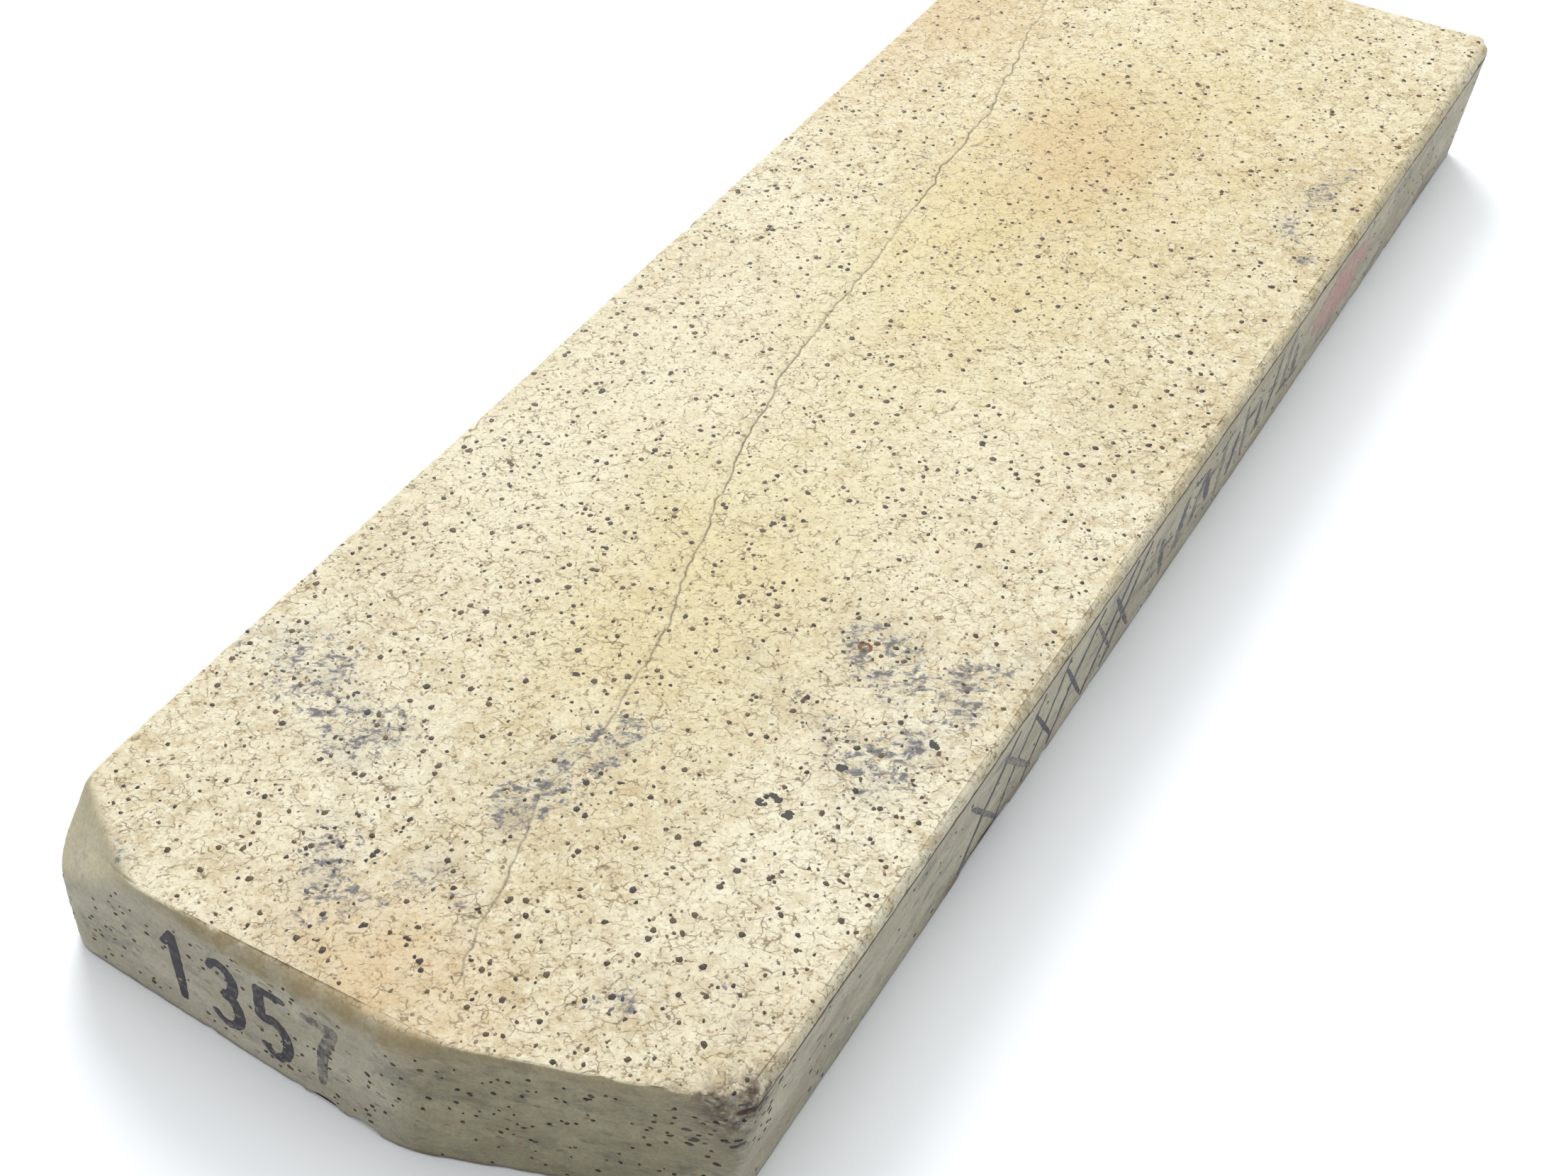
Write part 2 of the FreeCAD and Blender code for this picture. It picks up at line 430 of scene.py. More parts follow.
    def hairline(self, graph: Graph) -> tuple[Socket, Socket, Socket]:
        """A thin brown line that wavers along the right side under its top arris.

        Args:
            graph: the stone's graph.

        Returns:
            Where the right side is, the line itself, and what lies below it.
        """
        beside = graph.ease(graph.axis("X"), self.half_width - 1.7, self.half_width - 1.2)
        waver = graph.math("MULTIPLY_ADD", graph.clouds(11.0, 5.0, 0.6, shift=8.0), 1.4, -0.7)
        off = graph.math("SUBTRACT", graph.axis("Z"), self.thickness - self.line_drop)
        gap = graph.math("SUBTRACT", off, waver)
        line = graph.ease(graph.math("ABSOLUTE", gap), 0.15, 0.34, 1.0, 0.0)
        along = graph.ease(graph.clouds(14.0, 4.0, 0.6, shift=9.0), 0.32, 0.46, 0.55, 1.0)
        drawn = graph.times(graph.times(line, beside), along)
        return beside, drawn, graph.ease(gap, 0.12, -0.12)

    def tinted(self, graph: Graph, colour: Socket) -> Socket:
        """Lays the facet's olive, the ochre strip, the smoky corner and the flake's brown skin on."""
        for name, paint, size, least, most in (
                ("olive", self.olive, 6.0, 0.35, 0.8), ("ochre", self.ochre, 2.5, 0.35, 0.95),
                ("smoke", self.smoke, 1.1, 0.05, 0.95), ("skin", self.skin, 2.0, 0.35, 0.95)):
            uneven = graph.clouds(size, 5.0, 0.65, shift=len(name) + 20.0)
            uneven = graph.ease(uneven, 0.36, 0.62, least, most)
            colour = graph.blend(graph.times(graph.kept(name), uneven), colour, paint)
        leaf = graph.clouds(0.9, 6.0, 0.7, 1.2, place=graph.stretched((0.5, 0.5, 1.9)), shift=29.0)
        leaves = graph.times(graph.ease(leaf, 0.50, 0.60, 0.0, 0.9), graph.kept("smoke"))
        return graph.blend(leaves, colour, self.ink_dark)

    def stained(self, graph: Graph, colour: Socket) -> Socket:
        """Lays the slate smudges, their haze and the faint specks on."""
        fleck = graph.clouds(0.80, 4.0, 0.66, 0.5, place=self.lying(graph, 0.60), shift=12.0)
        need = graph.ease(graph.kept("stain"), 0.0, 1.0, 0.70, 0.50)
        over = graph.math("SUBTRACT", fleck, need)
        colour = graph.over(colour, self.slate, over, -0.02, 0.07, 0.72)
        colour = graph.over(colour, self.ink_dark, over, 0.05, 0.11, 0.6)
        uneven = graph.ease(graph.clouds(4.0, 4.0, shift=13.0), 0.35, 0.7)
        haze = graph.times(graph.kept("stain"), uneven)
        colour = graph.blend(graph.times(haze, 0.26), colour, self.slate)
        speck = graph.cells(0.95, graph.wandering(3.0, 0.6), "F1")
        near = graph.ease(speck.outputs["Distance"], 0.10, 0.20, 1.0, 0.0)
        chosen = graph.ease(speck.outputs["Color"], 0.72, 0.80)
        return graph.blend(graph.times(graph.times(near, chosen), 0.42), colour, self.crack)

    def material(self) -> bpy.types.Material:
        """Builds the stone's material."""
        graph = Graph("bedded_stone")
        top = self.cracked(graph, self.lapped(graph))
        # Painted shade: the near right end facet is darkened by multiplying in the painted facet shade
        # colour.
        wall = graph.blend(graph.kept("dusk"), self.sawn(graph), self.dusk, "MULTIPLY")
        ragged = graph.math("MULTIPLY_ADD", graph.clouds(1.4, 4.0, 0.7, shift=10.0), 0.5, -0.25)
        side = graph.ease(graph.math("ADD", graph.kept("wall"), ragged), 0.35, 0.65)
        beside, line, below = self.hairline(graph)
        side = graph.math("MULTIPLY_ADD", beside, graph.math("SUBTRACT", below, side), side)
        colour = self.stained(graph, self.tinted(graph, graph.blend(side, top, wall)))
        colour = graph.blend(graph.times(graph.kept("vein"), 0.9), colour, self.vein)
        colour = graph.blend(graph.times(line, 0.92), colour, self.line)
        # Darker brown along the lowest 0.75 mm of the walls.
        foot = graph.ease(graph.axis("Z"), 0.0, 0.75, 0.8, 0.0)
        colour = graph.blend(graph.times(foot, side), colour, self.skin)
        fine = graph.clouds(0.38, 5.0, 0.75, shift=14.0)
        colour = graph.shade(colour, graph.ease(fine, 0.2, 0.8, 0.70, 1.02))
        coarse = graph.times(graph.clouds(2.4, 4.0, shift=16.0), 0.5)
        relief = graph.math("MULTIPLY_ADD", graph.clouds(0.7, 8.0, 0.72, shift=15.0), 0.7, coarse)
        graph.bump(relief, 0.13, 0.65)
        rough = graph.ease(graph.clouds(3.0, 4.0, shift=17.0), 0.3, 0.7, 0.70, 0.86)
        return graph.finish(colour, rough, 0.28)


@dataclass(frozen=True)
class GrainFinish:
    """A mineral grain, from rusty to nearly black by its own kept tone."""

    name: str
    dark: tuple = tone(0.125, 0.09, 0.055)
    light: tuple = tone(0.31, 0.23, 0.135)

    def material(self) -> bpy.types.Material:
        """Builds the grain's material."""
        graph = Graph(self.name)
        grainy = graph.clouds(0.16, 3.0, 0.6)
        mixed = graph.math("MULTIPLY_ADD", grainy, 0.4, graph.times(graph.kept("grain_tone"), 0.75))
        colour = graph.blend(graph.ease(mixed, 0.25, 0.95), self.dark, self.light)
        graph.bump(grainy, 0.02, 0.6)
        return graph.finish(colour, graph.ease(grainy, 0.3, 0.7, 0.42, 0.7), 0.4)


@dataclass(frozen=True)
class InkFinish:
    """Dried ink or seal paste, worn through to the stone in places."""

    name: str
    ink: tuple
    stone: tuple = tone(0.66, 0.63, 0.56)
    cover: float = 0.9
    size: float = 0.9

    def material(self) -> bpy.types.Material:
        """Builds the ink's material, more or less of the stone showing by its own kept fade."""
        graph = Graph(self.name)
        grain = graph.clouds(self.size, 6.0, 0.72, 0.5)
        worn = graph.math("SUBTRACT", grain, graph.times(graph.kept("fade"), 0.42))
        share = graph.ease(worn, 0.12, 0.46, 0.12, self.cover)
        colour = graph.blend(share, self.stone, self.ink)
        fine = graph.clouds(0.3, 4.0, 0.7, shift=3.0)
        colour = graph.shade(colour, graph.ease(fine, 0.25, 0.75, 0.82, 1.15))
        graph.bump(fine, 0.03, 0.5)
        return graph.finish(colour, graph.ease(grain, 0.3, 0.7, 0.55, 0.8), 0.3)


# ---------------------------------------------------------------- the stone


@dataclass(frozen=True)
class Corner:
    """One upright corner: where its foot and its top stand, and how round each is."""

    foot: Point
    top: Point
    foot_round: float
    top_round: float


@dataclass(frozen=True)
class Cloud:
    """A soft-edged patch on the honing face.

    It stands at shares of the half width and half length from the middle, and reaches a share of the
    half width.
    """

    across: float
    along: float
    reach: float
    strength: float = 1.0
    stretch: float = 1.0

    def over(self, points: np.ndarray, half_width: float, half_length: float) -> np.ndarray:
        """How strongly it lies on each point of a stone of a size."""
        reach = self.reach * half_width
        middle = (self.across * half_width, self.along * half_length)
        offsets = (points[:, :2] - middle) / (reach, reach * self.stretch)
        return self.strength * np.exp(-(offsets ** 2).sum(axis=1))


@dataclass(frozen=True)
class Trail:
    """Smudges dropped along a line on the honing face, placed as a cloud is."""

    start: Point
    end: Point
    smudges: int
    scatter: float
    reach: float
    strength: float

    def clouds(self, rng: random.Random) -> list[Cloud]:
        """Drops the smudges, each a little off the line."""
        dropped = []
        for smudge in range(self.smudges):
            share = (smudge + 0.5) / self.smudges
            across, along = (first + (last - first) * share
                             for first, last in zip(self.start, self.end))
            dropped.append(Cloud(across + rng.uniform(-1, 1) * self.scatter,
                                 along + rng.uniform(-1, 1) * self.scatter / 2.5,
                                 self.reach * rng.uniform(0.7, 1.25),
                                 self.strength * rng.uniform(0.75, 1.2), rng.uniform(0.9, 1.5)))
        return dropped


@dataclass(frozen=True)
class Hollow:
    """A bowl knocked out of an edge."""

    centre: tuple[float, float, float]
    radius: float

    def carve(self, points: np.ndarray) -> np.ndarray:
        """Pushes the points inside the bowl out to its surface."""
        away = points - self.centre
        gap = np.linalg.norm(away, axis=1)
        inside = gap < self.radius
        points[inside] = self.centre + away[inside] * (self.radius / gap[inside])[:, None]
        return points


@dataclass
class Outline:
    """The stone's plan at one height, as matching columns of points round it."""

    points: np.ndarray
    inward: np.ndarray

    @classmethod
    def through(cls, corners: Sequence[Point], rounds: Sequence[float], sides: Sequence[int],
                arc: int) -> "Outline":
        """Draws straight sides between rounded corners.

        Args:
            corners: the sharp corners, counter-clockwise.
            rounds: the radius at each corner.
            sides: how many points each side has.
            arc: how many points each corner has.

        Returns:
            The outline.
        """
        runs = []
        count = len(corners)
        ends = []
        for number, (place, radius) in enumerate(zip(corners, rounds)):
            here = np.array(place)
            back = np.array(corners[number - 1]) - here
            on = np.array(corners[(number + 1) % count]) - here
            back, on = back / np.linalg.norm(back), on / np.linalg.norm(on)
            half = math.acos(np.clip(back @ on, -1, 1)) / 2
            middle = (back + on) / np.linalg.norm(back + on)
            centre = here + middle * radius / math.sin(half)
            start = here + back * radius / math.tan(half)
            end = here + on * radius / math.tan(half)
            first, last = start - centre, end - centre
            spread = math.pi - 2 * half
            turns = np.linspace(0, 1, arc)
            shares = [(np.sin((1 - turn) * spread), np.sin(turn * spread)) for turn in turns]
            ends.append(np.array([centre + (one * first + two * last) / math.sin(spread)
                                  for one, two in shares]))
        for number, bend in enumerate(ends):
            runs.append(bend)
            on = ends[(number + 1) % count][0]
            shares = np.linspace(0, 1, sides[number] + 2)[1:-1, None]
            runs.append(bend[-1] * (1 - shares) + on * shares)
        points = np.vstack(runs)
        return cls(points, leftward(np.roll(points, -1, axis=0) - np.roll(points, 1, axis=0)))


@dataclass
class Vein:
    """The hairline crack that wanders down the honing face, as a groove.

    Its route is in shares of the half width and half length from the middle.
    """

    half_width: float
    half_length: float
    step: float = 0.45
    groove: float = 0.20
    depth: float = 0.12
    route: Sequence[Point] = (
        (-0.65, 0.98), (-0.61, 0.76), (-0.45, 0.50), (-0.33, 0.06), (-0.31, -0.10), (-0.15, -0.32),
        (0.0, -0.48), (0.06, -0.60), (0.05, -0.70), (0.21, -0.91))

    def lines(self) -> tuple[np.ndarray, np.ndarray]:
        """Finds the groove's middle line and how strong the crack is along it.

        Returns:
            The places of the middle line and its strength at each.
        """
        route = np.array(self.route) * (self.half_width, self.half_length)
        run = walked(route)
        stops = np.arange(0, run[-1], self.step)
        places = np.column_stack([np.interp(stops, run, route[:, axis]) for axis in range(2)])
        seat = np.column_stack([stops, np.zeros_like(stops), np.zeros_like(stops)])
        sway = 0.75 * ripple(seat, (0.16, 1, 1), 3.3) + 0.4 * ripple(seat, (0.55, 1, 1), 7.1)
        places[:, 0] += sway + 0.14 * ripple(seat, (1.9, 1, 1), 1.7)
        strength = 0.75 + 0.5 * ripple(seat, (0.09, 1, 1), 9.4) + 0.35 * ripple(seat, (0.6, 1, 1), 5.2)
        return places, np.clip(strength, 0.12, 1.0)


@dataclass
class Slab:
    """The block of rock itself, with its outline, arrises, worn facet, breaks and vein."""

    low: np.ndarray
    high: np.ndarray
    inset: float = 0.07
    wall_rows: int = 25
    arc_rows: int = 5
    column_gap: float = 0.56
    top_gap: float = 0.66
    foot_gap: float = 1.7
    break_from_left: float = 43.2
    facet_reach: float = 7.7
    facet_drop: float = 8.5
    facet_turn: float = math.radians(31.0)
    near_left_setback: float = 0.3
    near_left_lean: float = 1.3
    near_break_lean: float = 2.4
    near_right_setback: float = 11.4
    near_right_lean: float = 1.5
    side_undercut: float = 0.9
    far_undercut: float = 4.3
    far_left_setback: float = 10.4
    corner_break: float = 1.55
    corner_smoke: float = 7.5
    side_flake_radius: float = 14.0
    side_flake_depth: float = 1.3
    side_flake_along: float = 58.4
    end_flake_radius: float = 4.5
    end_flake_depth: float = 0.7
    end_flake_from_left: float = 34.0
    end_flake_spacing: float = 4.8
    nicks: int = 150
    points: np.ndarray = field(init=False)
    faces: list[Face] = field(init=False)
    vein_share: np.ndarray = field(init=False)
    vein_bank: np.ndarray = field(init=False)
    facet_share: np.ndarray = field(init=False)
    smoke_share: np.ndarray = field(init=False)

    def __post_init__(self) -> None:
        """Works out the block's sizes from the frame's box."""
        self.half_width = (self.high[0] - self.low[0]) / 2 - self.inset
        self.half_length = (self.high[1] - self.low[1]) / 2 - self.inset
        self.thickness = self.high[2] - self.low[2] - self.inset
        wide, long = self.half_width, self.half_length
        left = -long + self.near_left_setback
        middle = self.break_from_left - wide
        right = -long + self.near_right_setback
        slant = long - self.far_left_setback
        foot_right, foot_far = wide - self.side_undercut, self.far_undercut
        self.corners = (
            Corner((-wide, left), (-wide, left + self.near_left_lean), 4.0, 4.0),
            Corner((middle, -long), (middle, -long + self.near_break_lean), 16.0, 9.0),
            Corner((foot_right, right), (wide, right + self.near_right_lean), 1.2, 2.2),
            Corner((foot_right, long - foot_far), (wide, long), 1.8, 2.2),
            Corner((-wide, slant - foot_far), (-wide, slant), 1.6, 1.6),
        )

    def from_near(self, y: np.ndarray, start: float, end: float) -> np.ndarray:
        """Eases from 0 to 1 between two distances from the near end."""
        return ease(start - self.half_length, end - self.half_length, y)

    def from_right(self, x: np.ndarray, start: float, end: float) -> np.ndarray:
        """Eases from 0 to 1 between two distances from the right side."""
        return ease(self.half_width - start, self.half_width - end, x)

    def from_top(self, z: np.ndarray, start: float, end: float) -> np.ndarray:
        """Eases from 0 to 1 between two depths below the honing face."""
        return ease(self.thickness - start, self.thickness - end, z)

    def outlines(self) -> tuple[Outline, Outline]:
        """Draws the foot and the top with matching columns."""
        tops = [corner.top for corner in self.corners]
        sides = [max(int(math.dist(one, two) / self.column_gap), 8)
                 for one, two in zip(tops, tops[1:] + tops[:1])]
        foot = Outline.through([corner.foot for corner in self.corners],
                               [corner.foot_round for corner in self.corners], sides, 11)
        top = Outline.through(tops, [corner.top_round for corner in self.corners], sides, 11)
        bow = np.abs(ripple(flat_points(top.points), (0.018, 0.018, 1), 4.0))[:, None]
        top.points += top.inward * bow * 0.3
        foot.points += foot.inward * bow * 0.15
        return foot, top

    def arris(self, top: Outline) -> np.ndarray:
        """How far the top arris is worn back at each column."""
        x, y = top.points.T
        seat = flat_points(top.points)
        strip = self.from_near(y, 14, 6) * ease(-22, -6, x) * ease(13, 5, x)
        right = self.from_right(x, 2, 0.5)
        worn = 0.42 + 1.45 * strip + right * (0.75 + 0.35 * ease(-60, 90, y))
        uneven = 1 + 0.35 * ripple(seat, (0.4, 0.4, 1), 2.0) + 0.25 * ripple(seat, (1.3, 1.3, 1), 6.0)
        return worn * np.clip(uneven, 0.4, 1.7)

    def walls(self) -> tuple[np.ndarray, int, int]:
        """Raises the wall rows from the foot to the top.

        Returns:
            The rows' points one after another, the count of rows and the count of columns.
        """
        foot, top = self.outlines()
        worn = self.arris(top)
        chipped = 0.35 + 0.25 * np.abs(ripple(flat_points(foot.points), (0.5, 0.5, 1), 8.0))
        turns = np.linspace(0, math.pi / 2, self.arc_rows + 1)
        rows = [(chipped * (1 - math.sin(turn)), chipped * (1 - math.cos(turn)))
                for turn in turns[::2]]
        rows += [(np.zeros_like(worn), chipped * (1 - share) + (self.thickness - worn) * share)
                 for share in np.linspace(0, 1, self.wall_rows)[1:-1]]
        rows += [(worn * (1 - math.cos(turn)), self.thickness - worn * (1 - math.sin(turn)))
                 for turn in turns]
        rings = []
        for back, height in rows:
            share = (height / self.thickness)[:, None]
            plan = foot.points * (1 - share) + top.points * share
            plan = plan + (foot.inward * (1 - share) + top.inward * share) * back[:, None]
            rings.append(np.column_stack([plan, height]))
        return np.vstack(rings), len(rings), len(worn)

    @staticmethod
    def inside(places: np.ndarray, ring: np.ndarray, margin: float) -> np.ndarray:
        """Keeps the places that lie inside a closed ring, away from it by a margin."""
        following = np.roll(ring, -1, axis=0)
        odd = np.zeros(len(places), bool)
        for (ax, ay), (bx, by) in zip(ring, following):
            if ay != by:
                spans = (ay > places[:, 1]) != (by > places[:, 1])
                odd ^= spans & (places[:, 0] < (bx - ax) * (places[:, 1] - ay) / (by - ay) + ax)
        return clear_of(places[odd], ring, margin)

    def cap(self, ring: np.ndarray, gap: float,
            lines: Sequence[np.ndarray]) -> tuple[np.ndarray, list[Face]]:
        """Fills a ring with even triangles that follow some lines.

        Args:
            ring: the closed edge, counter-clockwise.
            gap: how far apart the filling points are.
            lines: open lines that the triangles keep to.

        Returns:
            The points inside the ring, and faces numbered with the ring first and these after it.
        """
        across = np.arange(ring[:, 0].min(), ring[:, 0].max(), gap)
        along = np.arange(ring[:, 1].min(), ring[:, 1].max(), gap * math.sqrt(0.75))
        grid = np.array([(x + gap / 2 * (row % 2), y) for row, y in enumerate(along) for x in across])
        grid = self.inside(grid, ring, gap * 0.55)
        if lines:
            grid = clear_of(grid, np.vstack(lines), gap * 0.5)
        points = np.vstack([ring, *lines, grid])
        edges = [(number, (number + 1) % len(ring)) for number in range(len(ring))]
        start = len(ring)
        for line in lines:
            edges += [(start + number, start + number + 1) for number in range(len(line) - 1)]
            start += len(line)
        made = geometry.delaunay_2d_cdt([Vector(place) for place in points], edges, [], 1, 1e-6, True)
        numbers = []
        crossings = []
        for place, ids in zip(made[0], made[3]):
            if not ids:
                crossings.append(tuple(place))
            numbers.append(ids[0] if ids else len(points) + len(crossings) - 1)
        points = np.vstack([points, *crossings])
        return points[len(ring):], [tuple(numbers[number] for number in face) for face in made[2]]

    def assemble(self) -> None:
        """Builds the closed block from its walls and its two caps."""
        walls, rows, columns = self.walls()
        faces = []
        for row in range(rows - 1):
            for column in range(columns):
                beside = (column + 1) % columns
                below, above = row * columns, (row + 1) * columns
                faces.append((below + column, below + beside, above + beside, above + column))
        last = (rows - 1) * columns
        middle, strength = Vein(self.half_width, self.half_length).lines()
        beside = leftward(np.gradient(middle, axis=0)) * Vein.groove
        lines = [middle, middle + beside, middle - beside]
        top, top_faces = self.cap(walls[last:, :2], self.top_gap, lines)
        foot, foot_faces = self.cap(walls[:columns, :2], self.foot_gap, [])
        first_top = len(walls)
        first_foot = first_top + len(top)
        for cap_faces, ring_start, first, way in ((top_faces, last, first_top, 1),
                                                  (foot_faces, 0, first_foot, -1)):
            faces += [tuple(number + (ring_start if number < columns else first - columns)
                            for number in face)[::way] for face in cap_faces]
        self.points = np.vstack([walls, flat_points(top, self.thickness), flat_points(foot)])
        self.vein_share = np.zeros(len(self.points))
        self.vein_share[first_top:first_top + len(middle)] = strength
        self.vein_bank = np.zeros(len(self.points))
        self.vein_bank[first_top:first_top + sum(map(len, lines))] = 1
        self.points[:, 2] -= self.vein_share * Vein.depth
        self.faces = faces

    def wear_facet(self) -> None:
        """Slopes the near left corner off to its worn plane, with soft edges."""
        slope = np.array([math.sin(self.facet_turn) / self.facet_reach,
                          math.cos(self.facet_turn) / self.facet_reach, -1 / self.facet_drop])
        corner = np.array([*self.corners[0].foot, self.thickness])
        beyond = (self.points - corner) @ slope - 1
        beyond = beyond + 0.035 * ripple(self.points, (0.12, 0.12, 0.12), 11.0)
        soft = 0.5 * (-beyond + np.sqrt(beyond ** 2 + 0.10 ** 2))
        soft *= ease(0.6, 0.15, beyond)
        self.points += soft[:, None] * slope / (slope @ slope)
        self.facet_share = ease(0.10, -0.06, beyond)

    def break_corner(self) -> None:
        """Breaks the near right corner off in thin leaves along the bedding."""
        corner = np.array([*self.corners[2].top, self.thickness])
        out = np.array([0.70, -0.62, 0.35])
        out /= np.linalg.norm(out)
        leaves = 0.35 * ripple(self.points, (0.25, 0.25, 2.2), 17.0)
        beyond = (self.points - corner) @ out + self.corner_break + leaves
        self.points -= np.maximum(beyond, 0)[:, None] * out
        nearby = np.exp(-((self.points - corner) ** 2).sum(axis=1) / self.corner_smoke ** 2)
        self.smoke_share = nearby * ease(-3.5, -0.2, beyond)

    def knock_edges(self, rng: random.Random) -> None:
        """Knocks the flakes out of the foot and small nicks out of every arris."""
        out = (self.side_flake_radius - self.side_flake_depth) * math.sqrt(0.5)
        right, near = self.half_width - self.side_undercut + out, self.side_flake_along - self.half_length
        hollows = [Hollow((right, near, -out), self.side_flake_radius)]
        out = (self.end_flake_radius - self.end_flake_depth) * math.sqrt(0.5)
        for flake in range(2):
            across = -self.half_width + self.end_flake_from_left + self.end_flake_spacing * flake
            hollows.append(Hollow((across, -self.half_length - out, -out), self.end_flake_radius))
        foot, top = self.outlines()
        for _ in range(self.nicks):
            ring, height = rng.choice(((foot, 0.0), (top, self.thickness), (top, self.thickness)))
            column = rng.randrange(len(ring.points))
            radius = rng.uniform(0.7, 2.0)
            depth = rng.uniform(0.12, 0.3) * radius
            out = -ring.inward[column] * (radius - depth) * math.sqrt(0.5)
            up = (radius - depth) * math.sqrt(0.5) * (1 if height else -1)
            hollows.append(Hollow((*(ring.points[column] + out), height + up), radius))
        for hollow in hollows:
            self.points = hollow.carve(self.points)

    def roughen(self, outward: np.ndarray) -> None:
        """Gives the faces their low relief, always inward so that the sizes hold."""
        top = ease(0.75, 0.97, outward[:, 2])
        wall = 1 - ease(0.2, 0.8, np.abs(outward[:, 2]))
        beds = np.abs(ripple(self.points, (0.11, 0.11, 0.75), 21.0))
        fine = np.abs(ripple(self.points, (0.55, 0.55, 1.7), 27.0))
        near_end = self.from_near(self.points[:, 1], 16, 8)
        wave = np.abs(ripple(self.points, (0.03, 0.02, 1), 31.0)) * ease(0, 0.5, top)
        depth = wall * (0.07 * beds + (0.06 + 0.05 * near_end) * fine) + 0.05 * wave
        self.points -= outward * depth[:, None]
        self.points[:, 2] = np.maximum(self.points[:, 2], 0.0)


